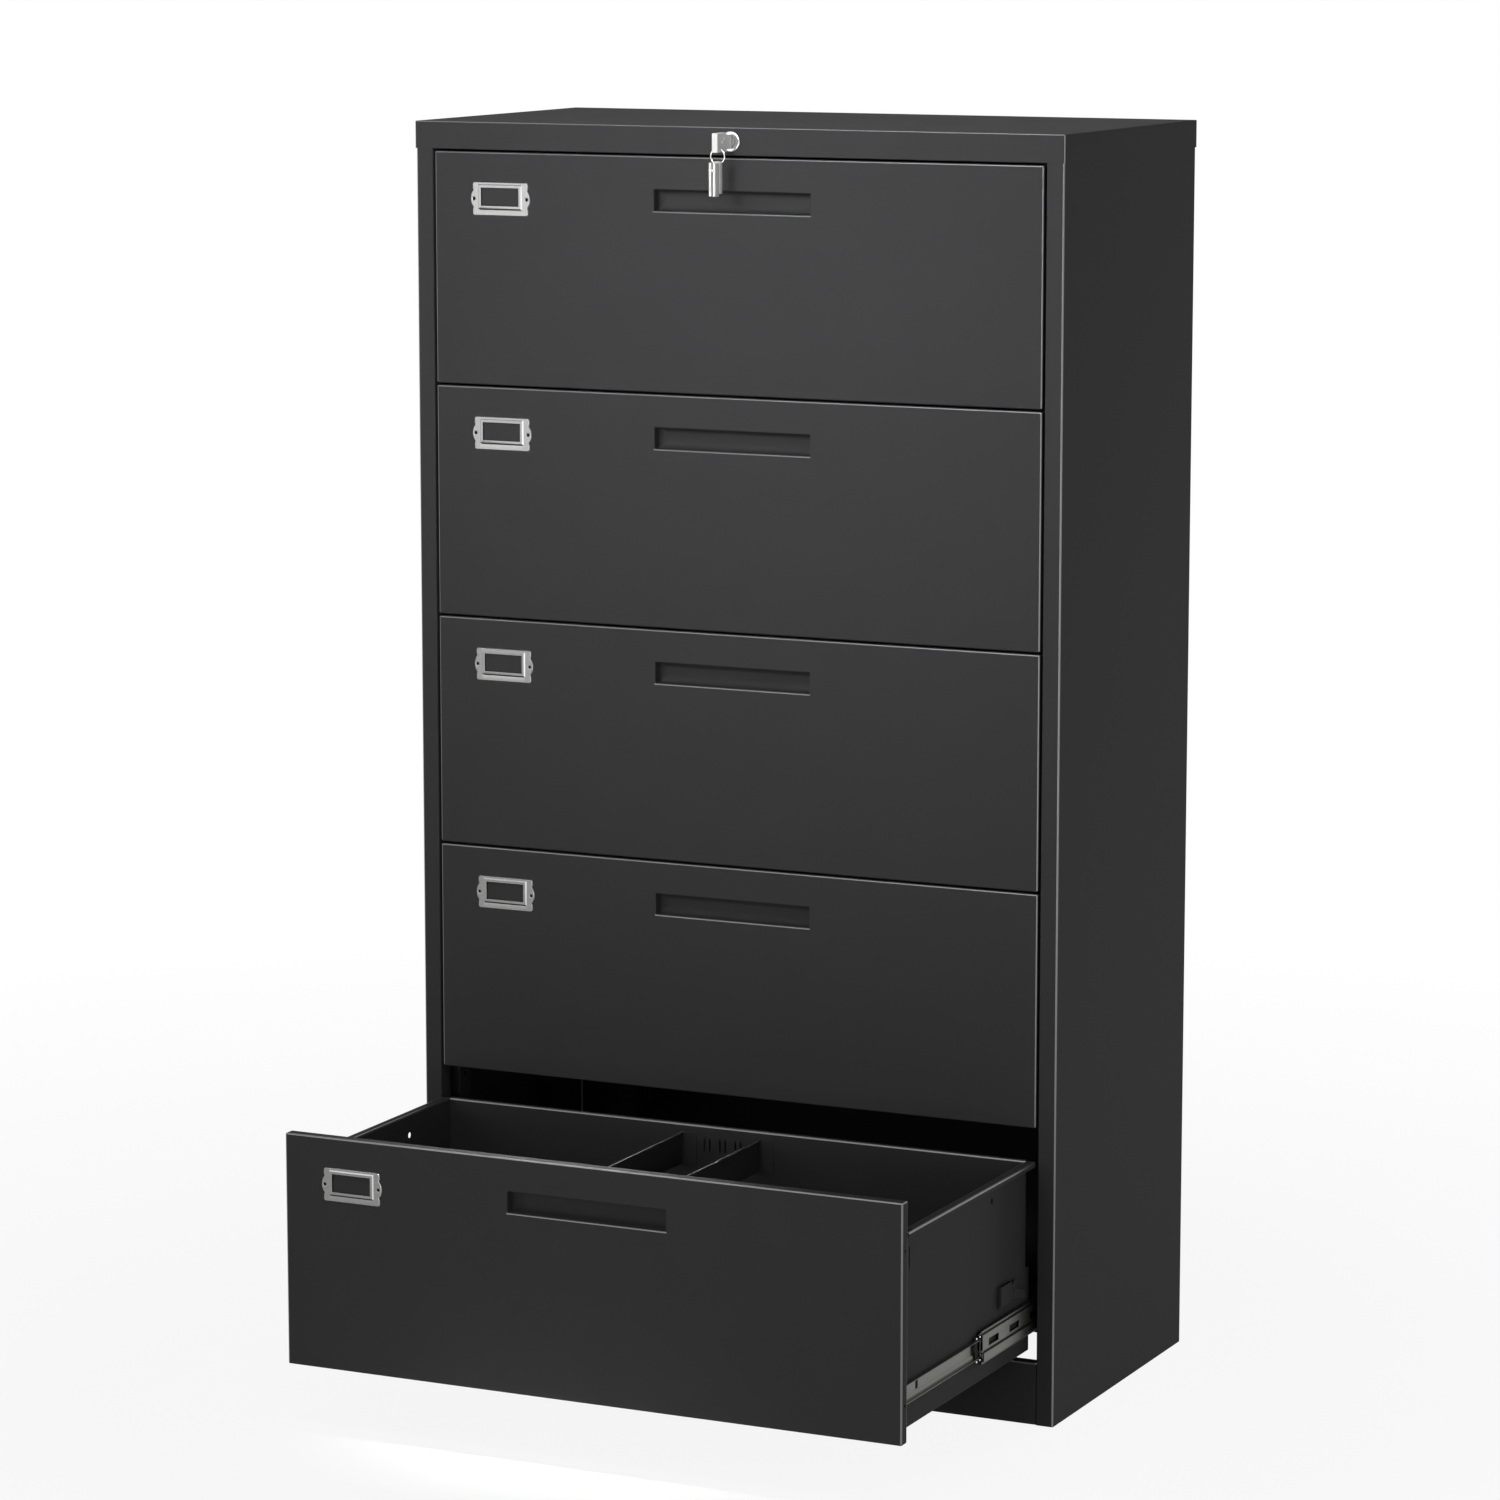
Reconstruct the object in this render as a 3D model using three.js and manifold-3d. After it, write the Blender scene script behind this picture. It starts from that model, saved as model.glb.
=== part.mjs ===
// Five-drawer lateral filing cabinet in folded sheet steel, with telescopic slides and a lock bar.
// Millimetres, +Z up, front towards -Y, the viewer's right at +X.
// The origin is on the floor, in the middle of the kick plate's floor flange.

import * as THREE from 'three';
import { mergeVertices } from 'three/addons/utils/BufferGeometryUtils.js';
import Module from 'manifold-3d';

const wasm = await Module();
wasm.setup();

// Carcass
const CABINET_WIDTH = 900;
const CABINET_DEPTH = 450;
const SHEET = 0.8;
const SEAM = 0.3;
const APRON_HEIGHT = 35;
const APRON_RETURN = 14;
const POST_WIDTH = 23.3;
const POST_RETURN = 25;
const REAR_FLANGE = 18;
const BACK_EDGE = 10;
const KICK_HEIGHT = 81;
const KICK_RETURN = 15;
const KICK_FLOOR = 40;
const BASE_RAIL_HEIGHT = 60;
const BASE_RAIL_FLOOR = 40;
const BASE_RAIL_TOP = 20;
const UPRIGHT_INSET = 1;
const UPRIGHT_WIDTH = 30;
const UPRIGHT_FRONT = 50;
const UPRIGHT_SPACING = 265;
const UPRIGHT_HEADROOM = 5;

// Drawers, with the lowest one standing open
const DRAWER_COUNT = 5;
const OPEN_DRAWER_TRAVEL = 412;
const FRONT_HEIGHT = 298;
const FRONT_GAP = 3;
const KICK_GAP = 2;
const FRONT_SIDE_GAP = 3.5;
const FRONT_DEPTH = 16;
const FRONT_LIP = 18;
const PULL_WIDTH = 217;
const PULL_HEIGHT = 27;
const PULL_DEPTH = 20;
const PULL_DROP = 42;
const BOX_HEIGHT = 247.5;
const BOX_LENGTH = 391.7;
const BOX_RAISE = 11;
const BOX_FLANGE = 11.7;
const BOX_BACK_HEM = 6;
const BOX_TAIL_LENGTH = 12;
const BOX_TAIL_HEIGHT = 110;
const SIDE_HOLE_SIZE = 8;
const SIDE_HOLE_SETBACK = 113;
const SIDE_HOLE_DROP = 26;

// Label holder on each front
const LABEL_WIDTH = 86;
const LABEL_HEIGHT = 43;
const LABEL_DEPTH = 3;
const LABEL_INSET = 95.1;
const LABEL_DROP = 38;
const WINDOW_WIDTH = 56;
const WINDOW_HEIGHT = 23.5;
const WINDOW_DROP = 7;

// Hanging-file bars and the slots that they hook into
const FILE_BAR_HEIGHT = 42.5;
const FILE_BAR_DROP = 10;
const FILE_BAR_HEM = 4;
const FILE_BAR_FLANGE = 22;
const FILE_BAR_OFFSET = 15;
const SLOT_PAIRS = 6;
const SLOT_PAIR_PITCH = 22;
const SLOT_SPACING = 7.5;
const SLOT_HEIGHT = 16;
const SLOT_DROP = 14.2;
const HOOK_THICKNESS = 1.6;
const HOOK_REACH = 3;

// Telescopic slides
const SLIDE_SPACE = 13.3;
const SLIDE_GAUGE = 1.2;
const SLIDE_RAISE = 57;
const WELD = 0.2;
const OUTER_HEIGHT = 45;
const OUTER_DEPTH = 8.1;
const OUTER_FRONT = 24;
const OUTER_LENGTH = 400;
const MIDDLE_HEIGHT = 36;
const MIDDLE_DEPTH = 7.3;
const MIDDLE_GAP = 1.6;
const MIDDLE_FRONT = 46;
const MIDDLE_LENGTH = 370;
const INNER_HEIGHT = 24;
const INNER_DEPTH = 6.4;
const INNER_FRONT = 20;
const INNER_LENGTH = 384;
const BALL_ROW_WIDTH = 2.6;
const BALL_ROW_LENGTH = 120;
const BALL_ROW_END = 18;
const MIDDLE_SLOTS = 3;
const MIDDLE_SLOT_LENGTH = 22;
const MIDDLE_SLOT_HEIGHT = 10;
const MIDDLE_SLOT_FIRST = 32;
const MIDDLE_SLOT_PITCH = 68;

// Catch on each box's right side, and the lock bar's ears that drop in front of it
const CATCH_SETBACK = 317;
const CATCH_RAISE = 82;
const CATCH_HEIGHT = 36;
const CATCH_REACH = 10.7;
const CATCH_GAUGE = 2;
const CATCH_PLATE_LENGTH = 51;
const CATCH_PLATE_HEIGHT = 27;
const EAR_CLEARANCE = 3;
const EAR_HEIGHT = 14;
const EAR_OVERLAP = 6;
const LOCK_DROP = 12;

// Lock, nut, cam, bar and key
const LOCK_FACE_RADIUS = 13;
const LOCK_FACE_DEPTH = 2.5;
const BARREL_RADIUS = 9.5;
const BARREL_LENGTH = 22;
const NUT_RADIUS = 13;
const NUT_DEPTH = 5;
const NUT_SIDES = 6;
const PLUG_RADIUS = 6.7;
const PLUG_STUB_RADIUS = 4;
const PLUG_PROUD = 0.5;
const CAM_GAUGE = 2;
const CAM_HUB_RADIUS = 7.5;
const CAM_CRANK = 12;
const CAM_PIN_RADIUS = 2;
const CAM_PIN_LENGTH = 5.5;
const CAM_END_RADIUS = 4;
const BAR_GAUGE = 2.5;
const BAR_BELOW = 11;
const BAR_ABOVE = 7;
const BAR_WIDTH = 16;
const BAR_PLAY = 1.2;
const BAR_SIDE_ROOM = 3.5;
const KEY_BLADE_THICKNESS = 2;
const KEY_BLADE_HEIGHT = 8.4;
const KEY_BLADE_LENGTH = 22;
const KEY_SHANK_LENGTH = 17.5;
const KEY_SHANK_THICKNESS = 5;
const KEY_SHANK_HEIGHT = 11;
const BOW_THICKNESS = 8;
const BOW_HEIGHT = 24;
const BOW_LENGTH = 26;
const BOW_HOLE_RADIUS = 2.6;
const BOW_HOLE_EDGE = 9;
const BOW_HOLE_DROP = 7.3;

// Facets of round pieces
const ROUND_SIDES = 24;
const SMALL_ROUND_SIDES = 12;

// Heights and widths that follow from the driving dimensions
const PITCH = FRONT_HEIGHT + FRONT_GAP;
const FRONTS_BOTTOM = KICK_HEIGHT + KICK_GAP;
const FRONTS_TOP = FRONTS_BOTTOM + DRAWER_COUNT * PITCH - FRONT_GAP;
const APRON_BOTTOM = FRONTS_TOP + FRONT_GAP;
const CABINET_HEIGHT = APRON_BOTTOM + APRON_HEIGHT;
const CAP_HALF = CABINET_WIDTH / 2;
const CAP_FRONT = -SHEET - SEAM;
const CAP_BACK = CAP_FRONT + CABINET_DEPTH;
const CAP_UNDERSIDE = CABINET_HEIGHT - SHEET;
const BODY_HALF = CAP_HALF - SHEET - SEAM;
const BODY_BACK = CAP_BACK - SHEET - SEAM;
const BODY_TOP = CAP_UNDERSIDE - SEAM;
const SKIN_INSIDE = BODY_HALF - SHEET;
const OPENING_HALF = BODY_HALF - POST_WIDTH;
const BACK_PANEL_FACE = BODY_BACK - SHEET - SEAM;
const BACK_PANEL_HALF = SKIN_INSIDE - SEAM;
const UPRIGHT_FACE = OPENING_HALF - UPRIGHT_INSET;
const UPRIGHT_REAR = UPRIGHT_FRONT + UPRIGHT_SPACING;
const FRONT_HALF = OPENING_HALF - FRONT_SIDE_GAP;
const LABEL_MIDDLE = -FRONT_HALF + LABEL_INSET;
const BOX_HALF = UPRIGHT_FACE - SLIDE_SPACE;
const BOX_FRONT = FRONT_DEPTH + SEAM;
const BOX_BACK = BOX_FRONT + BOX_LENGTH;
const BOX_TOP = BOX_RAISE + BOX_HEIGHT;
const BOX_WALL = PULL_DEPTH + 2 * SHEET;
const OUTER_PAIR = ((SLOT_PAIRS - 1) / 2) * SLOT_PAIR_PITCH;
const FILE_BAR_TOP = BOX_TOP - FILE_BAR_DROP;
const SLOT_MIDDLE = FILE_BAR_TOP - SLOT_DROP;

// Places along the lock and the key that follow, from the lock's face backwards and forwards
const LOCK_HEIGHT = CABINET_HEIGHT - APRON_HEIGHT / 2;
const LOCK_CENTRE = [0, LOCK_HEIGHT];
const FACE_BACK = CAP_FRONT - SEAM;
const FACE_FRONT = FACE_BACK - LOCK_FACE_DEPTH;
const PLUG_FRONT = FACE_FRONT - PLUG_PROUD;
const CAM_FRONT = BARREL_LENGTH + SEAM;
const CAM_BACK = CAM_FRONT + CAM_GAUGE;
const BAR_FRONT = CAM_BACK + BAR_PLAY;
const SHANK_BACK = PLUG_FRONT - SEAM;
const BOW_BACK = SHANK_BACK - KEY_SHANK_LENGTH;
const BOW_FRONT = BOW_BACK - BOW_LENGTH;
const BOW_HOLE = [BOW_FRONT + BOW_HOLE_EDGE, LOCK_HEIGHT - BOW_HOLE_DROP];

// Materials
function metal(color, roughness, metalness) {
  return new THREE.MeshStandardMaterial({ color, roughness, metalness });
}

const blackCoat = metal(0x2a2a2c, 0.5, 0.1);
const zinc = metal(0xb4b3ab, 0.38, 0.9);
const nickel = metal(0xc4c4c2, 0.32, 0.95);
const chrome = metal(0xd8d9db, 0.15, 1);

// Turns a closed three.js geometry into a solid that can be joined and cut
function toSolid(geometry) {
  geometry.deleteAttribute('normal');
  geometry.deleteAttribute('uv');
  const merged = mergeVertices(geometry);
  return new wasm.Manifold(new wasm.Mesh({
    numProp: 3,
    vertProperties: new Float32Array(merged.attributes.position.array),
    triVerts: new Uint32Array(merged.index.array),
  }));
}

// Turns a finished solid into a named mesh
function toMesh(name, solid, material) {
  const { vertProperties, triVerts } = solid.getMesh();
  const geometry = new THREE.BufferGeometry();
  geometry.setAttribute('position', new THREE.BufferAttribute(new Float32Array(vertProperties), 3));
  geometry.setIndex(new THREE.BufferAttribute(new Uint32Array(triVerts), 1));
  geometry.computeVertexNormals();
  const mesh = new THREE.Mesh(geometry, material);
  mesh.name = name;
  return mesh;
}

// Box between two limits on each axis, in either order
function block(x, y, z) {
  const spans = [x, y, z];
  const sizes = spans.map(([a, b]) => Math.abs(b - a));
  const middles = spans.map(([a, b]) => (a + b) / 2);
  return toSolid(new THREE.BoxGeometry(...sizes).translate(...middles));
}

// Round bar along Y, at a place across it
function barAlongY(radius, y, [x, z], sides = ROUND_SIDES) {
  const length = y[1] - y[0];
  const geometry = new THREE.CylinderGeometry(radius, radius, length, sides);
  return toSolid(geometry.translate(x, y[0] + length / 2, z));
}

// Round bar along X, at a place across it
function barAlongX(radius, x, [y, z], sides = SMALL_ROUND_SIDES) {
  const length = x[1] - x[0];
  const geometry = new THREE.CylinderGeometry(radius, radius, length, sides);
  return toSolid(geometry.rotateZ(Math.PI / 2).translate(x[0] + length / 2, y, z));
}

// Outline of a bent sheet from a path along its outer face, with the thickness on the path's left
function bentSheet(path, thickness) {
  const outer = path.map(([a, b]) => new THREE.Vector2(a, b));
  const normals = outer.slice(1).map((point, i) => {
    const along = point.clone().sub(outer[i]).normalize();
    return new THREE.Vector2(-along.y, along.x);
  });
  const inner = outer.map((point, i) => {
    const before = normals[Math.max(i - 1, 0)];
    const after = normals[Math.min(i, normals.length - 1)];
    const mitre = before.clone().add(after).divideScalar(1 + before.dot(after));
    return point.clone().addScaledVector(mitre, thickness);
  });
  return new THREE.Shape([...outer, ...inner.reverse()]);
}

const X_AXIS = new THREE.Vector3(1, 0, 0);
const Y_AXIS = new THREE.Vector3(0, 1, 0);
const Z_AXIS = new THREE.Vector3(0, 0, 1);
const LAY_ALONG_X = new THREE.Matrix4().makeBasis(Y_AXIS, Z_AXIS, X_AXIS);
const LAY_ALONG_Y = new THREE.Matrix4().makeBasis(X_AXIS, Z_AXIS, Y_AXIS.clone().negate());

function extruded(shape, length) {
  return new THREE.ExtrudeGeometry(shape, { depth: length, bevelEnabled: false });
}

// Extrusions of an outline in (y, z) along X, in (x, z) along Y and in (x, y) along Z
function alongX(shape, [from, to]) {
  return toSolid(extruded(shape, to - from).applyMatrix4(LAY_ALONG_X).translate(from, 0, 0));
}

function alongY(shape, [from, to]) {
  return toSolid(extruded(shape, to - from).applyMatrix4(LAY_ALONG_Y).translate(0, to, 0));
}

function alongZ(shape, [from, to]) {
  return toSolid(extruded(shape, to - from).translate(0, 0, from));
}

function joined(solids) {
  return solids.reduce((whole, solid) => whole.add(solid));
}

function mirrored(path, side) {
  return path.map(([across, other]) => [side * across, other]);
}

// A path on the left is the mirror of the right one, so it is walked backwards to keep its left side
function sidedSheet(path, side, thickness) {
  const placed = mirrored(path, side);
  return bentSheet(side > 0 ? placed : placed.reverse(), thickness);
}

// Carcass pieces

function topCap() {
  const tray = block([-CAP_HALF, CAP_HALF], [CAP_FRONT, CAP_BACK], [APRON_BOTTOM, CABINET_HEIGHT]);
  const inside = block(
    [-CAP_HALF + SHEET, CAP_HALF - SHEET],
    [CAP_FRONT + SHEET, CAP_BACK - SHEET],
    [APRON_BOTTOM - SHEET, CAP_UNDERSIDE],
  );
  const apronReturn = block(
    [-OPENING_HALF + SEAM, OPENING_HALF - SEAM],
    [CAP_FRONT + SHEET / 2, APRON_RETURN],
    [APRON_BOTTOM, APRON_BOTTOM + SHEET],
  );
  const lockHole = barAlongY(BARREL_RADIUS + SEAM, [CAP_FRONT - SHEET, SHEET], [0, LOCK_HEIGHT]);
  return tray.subtract(inside).add(apronReturn).subtract(lockHole);
}

// One sheet makes the post's return, the post, the side and the rear flange
function sidePanel(side) {
  const path = [
    [OPENING_HALF, POST_RETURN],
    [OPENING_HALF, 0],
    [BODY_HALF, 0],
    [BODY_HALF, BODY_BACK],
    [BODY_HALF - REAR_FLANGE, BODY_BACK],
  ];
  return alongZ(sidedSheet(path, side, SHEET), [0, BODY_TOP]);
}

function backPanel() {
  const path = [
    [BACK_PANEL_HALF, BACK_PANEL_FACE - BACK_EDGE],
    [BACK_PANEL_HALF, BACK_PANEL_FACE],
    [-BACK_PANEL_HALF, BACK_PANEL_FACE],
    [-BACK_PANEL_HALF, BACK_PANEL_FACE - BACK_EDGE],
  ];
  return alongZ(bentSheet(path, SHEET), [0, BODY_TOP]);
}

function kickPlate() {
  const path = [
    [KICK_RETURN, KICK_HEIGHT],
    [0, KICK_HEIGHT],
    [0, 0],
    [KICK_FLOOR, 0],
  ];
  return alongX(bentSheet(path, SHEET), [-OPENING_HALF + SEAM, OPENING_HALF - SEAM]);
}

function rearBaseRail() {
  const face = BACK_PANEL_FACE - SHEET - SEAM;
  const half = BACK_PANEL_HALF - SHEET - SEAM;
  const path = [
    [face - BASE_RAIL_FLOOR, 0],
    [face, 0],
    [face, BASE_RAIL_HEIGHT],
    [face - BASE_RAIL_TOP, BASE_RAIL_HEIGHT],
  ];
  return alongX(bentSheet(path, SHEET), [-half, half]);
}

// C-section of a slide member: its web stands at webFace and its flanges reach to tips
function slideSection(webFace, tips, height, side) {
  const half = height / 2;
  const path = [[tips, half], [webFace, half], [webFace, -half], [tips, -half]];
  const wound = tips < webFace ? path.reverse() : path;
  return sidedSheet(wound, side, SLIDE_GAUGE);
}

function drawerBase(number) {
  return FRONTS_BOTTOM + (DRAWER_COUNT - number) * PITCH;
}

// Two uprights with the five outer slide members welded to them
function railFrame(side) {
  const uprightHeight = [0, FRONTS_TOP - UPRIGHT_HEADROOM];
  const uprights = [UPRIGHT_FRONT, UPRIGHT_REAR].map((front) => {
    const path = [
      [SKIN_INSIDE - SEAM, front + UPRIGHT_WIDTH],
      [UPRIGHT_FACE, front + UPRIGHT_WIDTH],
      [UPRIGHT_FACE, front],
      [SKIN_INSIDE - SEAM, front],
    ];
    return alongZ(sidedSheet(path, side, SHEET), uprightHeight);
  });
  const section = slideSection(UPRIGHT_FACE + WELD, UPRIGHT_FACE - OUTER_DEPTH, OUTER_HEIGHT, side);
  const members = [];
  for (let number = 1; number <= DRAWER_COUNT; number += 1) {
    const member = alongY(section, [OUTER_FRONT, OUTER_FRONT + OUTER_LENGTH]);
    members.push(member.translate([0, 0, drawerBase(number) + SLIDE_RAISE]));
  }
  return joined([...uprights, ...members]);
}

// Slide members, in their drawer's own heights

function innerMember(side) {
  const webFace = BOX_HALF + SEAM;
  const section = slideSection(webFace, webFace + INNER_DEPTH, INNER_HEIGHT, side);
  return alongY(section, [INNER_FRONT, INNER_FRONT + INNER_LENGTH]).translate([0, 0, SLIDE_RAISE]);
}

// The middle member carries the ball rows of both tracks: outer ones at its back, inner ones at its front
function middleMember(side) {
  const webFace = UPRIGHT_FACE - SLIDE_GAUGE + WELD - MIDDLE_GAP;
  const tips = webFace - MIDDLE_DEPTH;
  const back = MIDDLE_FRONT + MIDDLE_LENGTH;
  const section = slideSection(webFace, tips, MIDDLE_HEIGHT, side);
  const channel = alongY(section, [MIDDLE_FRONT, back]);

  const outerRow = {
    x: [webFace - SLIDE_GAUGE, webFace - SLIDE_GAUGE - BALL_ROW_WIDTH],
    y: [back - BALL_ROW_END - BALL_ROW_LENGTH, back - BALL_ROW_END],
    z: [MIDDLE_HEIGHT / 2 - SLIDE_GAUGE / 2, OUTER_HEIGHT / 2 - SLIDE_GAUGE - SEAM],
  };
  const innerRow = {
    x: [tips, tips + BALL_ROW_WIDTH],
    y: [MIDDLE_FRONT + BALL_ROW_END, MIDDLE_FRONT + BALL_ROW_END + BALL_ROW_LENGTH],
    z: [INNER_HEIGHT / 2 + SEAM, MIDDLE_HEIGHT / 2 - SLIDE_GAUGE / 2],
  };
  const rows = [outerRow, innerRow].flatMap(({ x, y, z }) => [1, -1].map((face) => (
    block(x.map((v) => side * v), y, z.map((v) => face * v))
  )));

  const slots = [];
  for (let i = 0; i < MIDDLE_SLOTS; i += 1) {
    const centre = MIDDLE_FRONT + MIDDLE_SLOT_FIRST + i * MIDDLE_SLOT_PITCH;
    slots.push(block(
      [side * (webFace - 2 * SLIDE_GAUGE), side * (webFace + SLIDE_GAUGE)],
      [centre - MIDDLE_SLOT_LENGTH / 2, centre + MIDDLE_SLOT_LENGTH / 2],
      [-MIDDLE_SLOT_HEIGHT / 2, MIDDLE_SLOT_HEIGHT / 2],
    ));
  }
  return joined([channel, ...rows]).subtract(joined(slots)).translate([0, 0, SLIDE_RAISE]);
}

// Drawer pieces, with y = 0 on the front's face and z = 0 at the front's lower edge

// Hollow pan with an inward lip at its back and the finger recess pressed into its face
function drawerFront() {
  const pan = block([-FRONT_HALF, FRONT_HALF], [0, FRONT_DEPTH], [0, FRONT_HEIGHT]);
  const hollow = block(
    [-FRONT_HALF + SHEET, FRONT_HALF - SHEET],
    [SHEET, FRONT_DEPTH - SHEET],
    [SHEET, FRONT_HEIGHT - SHEET],
  );
  const backOpening = block(
    [-FRONT_HALF + FRONT_LIP, FRONT_HALF - FRONT_LIP],
    [FRONT_DEPTH - 2 * SHEET, FRONT_DEPTH + SHEET],
    [FRONT_LIP, FRONT_HEIGHT - FRONT_LIP],
  );
  const pullTop = FRONT_HEIGHT - PULL_DROP;
  const pullBottom = pullTop - PULL_HEIGHT;
  const pullHalf = PULL_WIDTH / 2;
  const pullShell = block(
    [-pullHalf - SHEET, pullHalf + SHEET],
    [SHEET / 2, PULL_DEPTH + SHEET],
    [pullBottom - SHEET, pullTop + SHEET],
  );
  const pullSpace = block([-pullHalf, pullHalf], [-SHEET, PULL_DEPTH], [pullBottom, pullTop]);
  return pan.subtract(hollow).subtract(backOpening).add(pullShell).subtract(pullSpace);
}

// Slot positions across the box, in pairs about its middle
function slotCentres() {
  const centres = [];
  for (let pair = 0; pair < SLOT_PAIRS; pair += 1) {
    const middle = (pair - (SLOT_PAIRS - 1) / 2) * SLOT_PAIR_PITCH;
    centres.push(middle - SLOT_SPACING / 2, middle + SLOT_SPACING / 2);
  }
  return centres;
}

// Bracket on the right side: a face that the lock bar's ear meets, a plate and a hooked tail
function lockCatch() {
  const root = BOX_HALF - SHEET / 2;
  const bottom = CATCH_RAISE;
  const face = block(
    [root, BOX_HALF + CATCH_REACH],
    [CATCH_SETBACK, CATCH_SETBACK + CATCH_GAUGE],
    [bottom, bottom + CATCH_HEIGHT],
  );
  const plate = block(
    [root, BOX_HALF + CATCH_GAUGE],
    [CATCH_SETBACK, CATCH_SETBACK + CATCH_PLATE_LENGTH],
    [bottom, bottom + CATCH_PLATE_HEIGHT],
  );
  const tail = block(
    [root, BOX_HALF + CATCH_REACH / 2],
    [CATCH_SETBACK + CATCH_PLATE_LENGTH - CATCH_GAUGE, BOX_BACK],
    [bottom, bottom + CATCH_PLATE_HEIGHT / 2],
  );
  return joined([face, plate, tail]);
}

function drawerBox() {
  const tray = block([-BOX_HALF, BOX_HALF], [BOX_FRONT, BOX_BACK], [BOX_RAISE, BOX_TOP]);
  const insideHalf = BOX_HALF - SHEET;
  const inside = block(
    [-insideHalf, insideHalf],
    [BOX_WALL + SHEET, BOX_BACK - SHEET],
    [BOX_RAISE + SHEET, BOX_TOP + SHEET],
  );
  const beforeWall = block(
    [-insideHalf, insideHalf],
    [BOX_FRONT - SHEET, BOX_WALL],
    [BOX_RAISE + SHEET, BOX_TOP + SHEET],
  );
  const sides = [1, -1].flatMap((side) => [
    block(
      [side * insideHalf, side * (BOX_HALF + BOX_FLANGE)],
      [BOX_FRONT, BOX_BACK],
      [BOX_TOP - SHEET, BOX_TOP],
    ),
    block(
      [side * insideHalf, side * BOX_HALF],
      [BOX_BACK - SHEET, BOX_BACK + BOX_TAIL_LENGTH],
      [BOX_RAISE, BOX_RAISE + BOX_TAIL_HEIGHT],
    ),
  ]);
  const backHem = block(
    [-insideHalf, insideHalf],
    [BOX_BACK - SHEET, BOX_BACK + BOX_BACK_HEM],
    [BOX_TOP - SHEET, BOX_TOP],
  );
  const slotHalf = HOOK_THICKNESS / 2 + SEAM;
  const slots = slotCentres().map((x) => block(
    [x - slotHalf, x + slotHalf],
    [BOX_FRONT - SHEET, BOX_BACK + BOX_BACK_HEM],
    [SLOT_MIDDLE - SLOT_HEIGHT / 2, SLOT_MIDDLE + SLOT_HEIGHT / 2],
  ));
  const sideHoles = block(
    [-BOX_HALF - SHEET, BOX_HALF + SHEET],
    [BOX_BACK - SIDE_HOLE_SETBACK - SIDE_HOLE_SIZE / 2, BOX_BACK - SIDE_HOLE_SETBACK + SIDE_HOLE_SIZE / 2],
    [BOX_TOP - SIDE_HOLE_DROP - SIDE_HOLE_SIZE / 2, BOX_TOP - SIDE_HOLE_DROP + SIDE_HOLE_SIZE / 2],
  );
  const shell = joined([tray.subtract(inside).subtract(beforeWall), ...sides, backHem, lockCatch()]);
  return shell.subtract(joined([...slots, sideHoles]));
}

function labelHolder() {
  const top = FRONT_HEIGHT - LABEL_DROP;
  const windowTop = top - WINDOW_DROP;
  const plate = block(
    [LABEL_MIDDLE - LABEL_WIDTH / 2, LABEL_MIDDLE + LABEL_WIDTH / 2],
    [-SEAM - LABEL_DEPTH, -SEAM],
    [top - LABEL_HEIGHT, top],
  );
  const cardWindow = block(
    [LABEL_MIDDLE - WINDOW_WIDTH / 2, LABEL_MIDDLE + WINDOW_WIDTH / 2],
    [-2 * LABEL_DEPTH, LABEL_DEPTH],
    [windowTop - WINDOW_HEIGHT, windowTop],
  );
  return plate.subtract(cardWindow);
}

// Plate with a hem along its top, a flange at each end and hooks through the walls' slots
function fileBar(pairMiddle) {
  const x = pairMiddle - FILE_BAR_OFFSET;
  const ends = [BOX_WALL + SHEET + SEAM, BOX_BACK - SHEET - SEAM];
  const heights = [FILE_BAR_TOP - FILE_BAR_HEIGHT, FILE_BAR_TOP];
  const plate = block([x, x + SHEET], ends, heights);
  const hem = block([x, x + FILE_BAR_HEM], ends, [FILE_BAR_TOP - SHEET, FILE_BAR_TOP]);
  const flanges = [
    block([x, x + FILE_BAR_FLANGE], [ends[0], ends[0] + SHEET], heights),
    block([x, x + FILE_BAR_FLANGE], [ends[1] - SHEET, ends[1]], heights),
  ];
  const hookHeights = [SLOT_MIDDLE - SLOT_HEIGHT / 2 + SEAM, SLOT_MIDDLE + SLOT_HEIGHT / 2 - HOOK_REACH];
  const hooks = [-1, 1].flatMap((half) => {
    const middle = pairMiddle + half * SLOT_SPACING / 2;
    const width = [middle - HOOK_THICKNESS / 2, middle + HOOK_THICKNESS / 2];
    return [
      block(width, [ends[0] + SHEET / 2, ends[0] - SEAM - SHEET - SHEET / 2], hookHeights),
      block(width, [ends[1] - SHEET / 2, ends[1] + SEAM + SHEET + HOOK_REACH], hookHeights),
    ];
  });
  return joined([plate, hem, ...flanges, ...hooks]);
}

// Lock pieces

function lockBarrel() {
  const face = barAlongY(LOCK_FACE_RADIUS, [FACE_FRONT, FACE_BACK], LOCK_CENTRE);
  const barrel = barAlongY(BARREL_RADIUS, [FACE_BACK - SHEET, BARREL_LENGTH], LOCK_CENTRE);
  const bore = barAlongY(PLUG_RADIUS + SEAM, [FACE_FRONT - SHEET, BARREL_LENGTH + SHEET], LOCK_CENTRE);
  return face.add(barrel).subtract(bore);
}

// Flat nut that draws the barrel's face against the apron from behind
function lockNut() {
  const front = CAP_FRONT + SHEET + SEAM;
  const nut = barAlongY(NUT_RADIUS, [front, front + NUT_DEPTH], LOCK_CENTRE, NUT_SIDES);
  const bore = barAlongY(BARREL_RADIUS + SEAM, [front - SHEET, front + NUT_DEPTH + SHEET], LOCK_CENTRE);
  return nut.subtract(bore);
}

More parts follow.
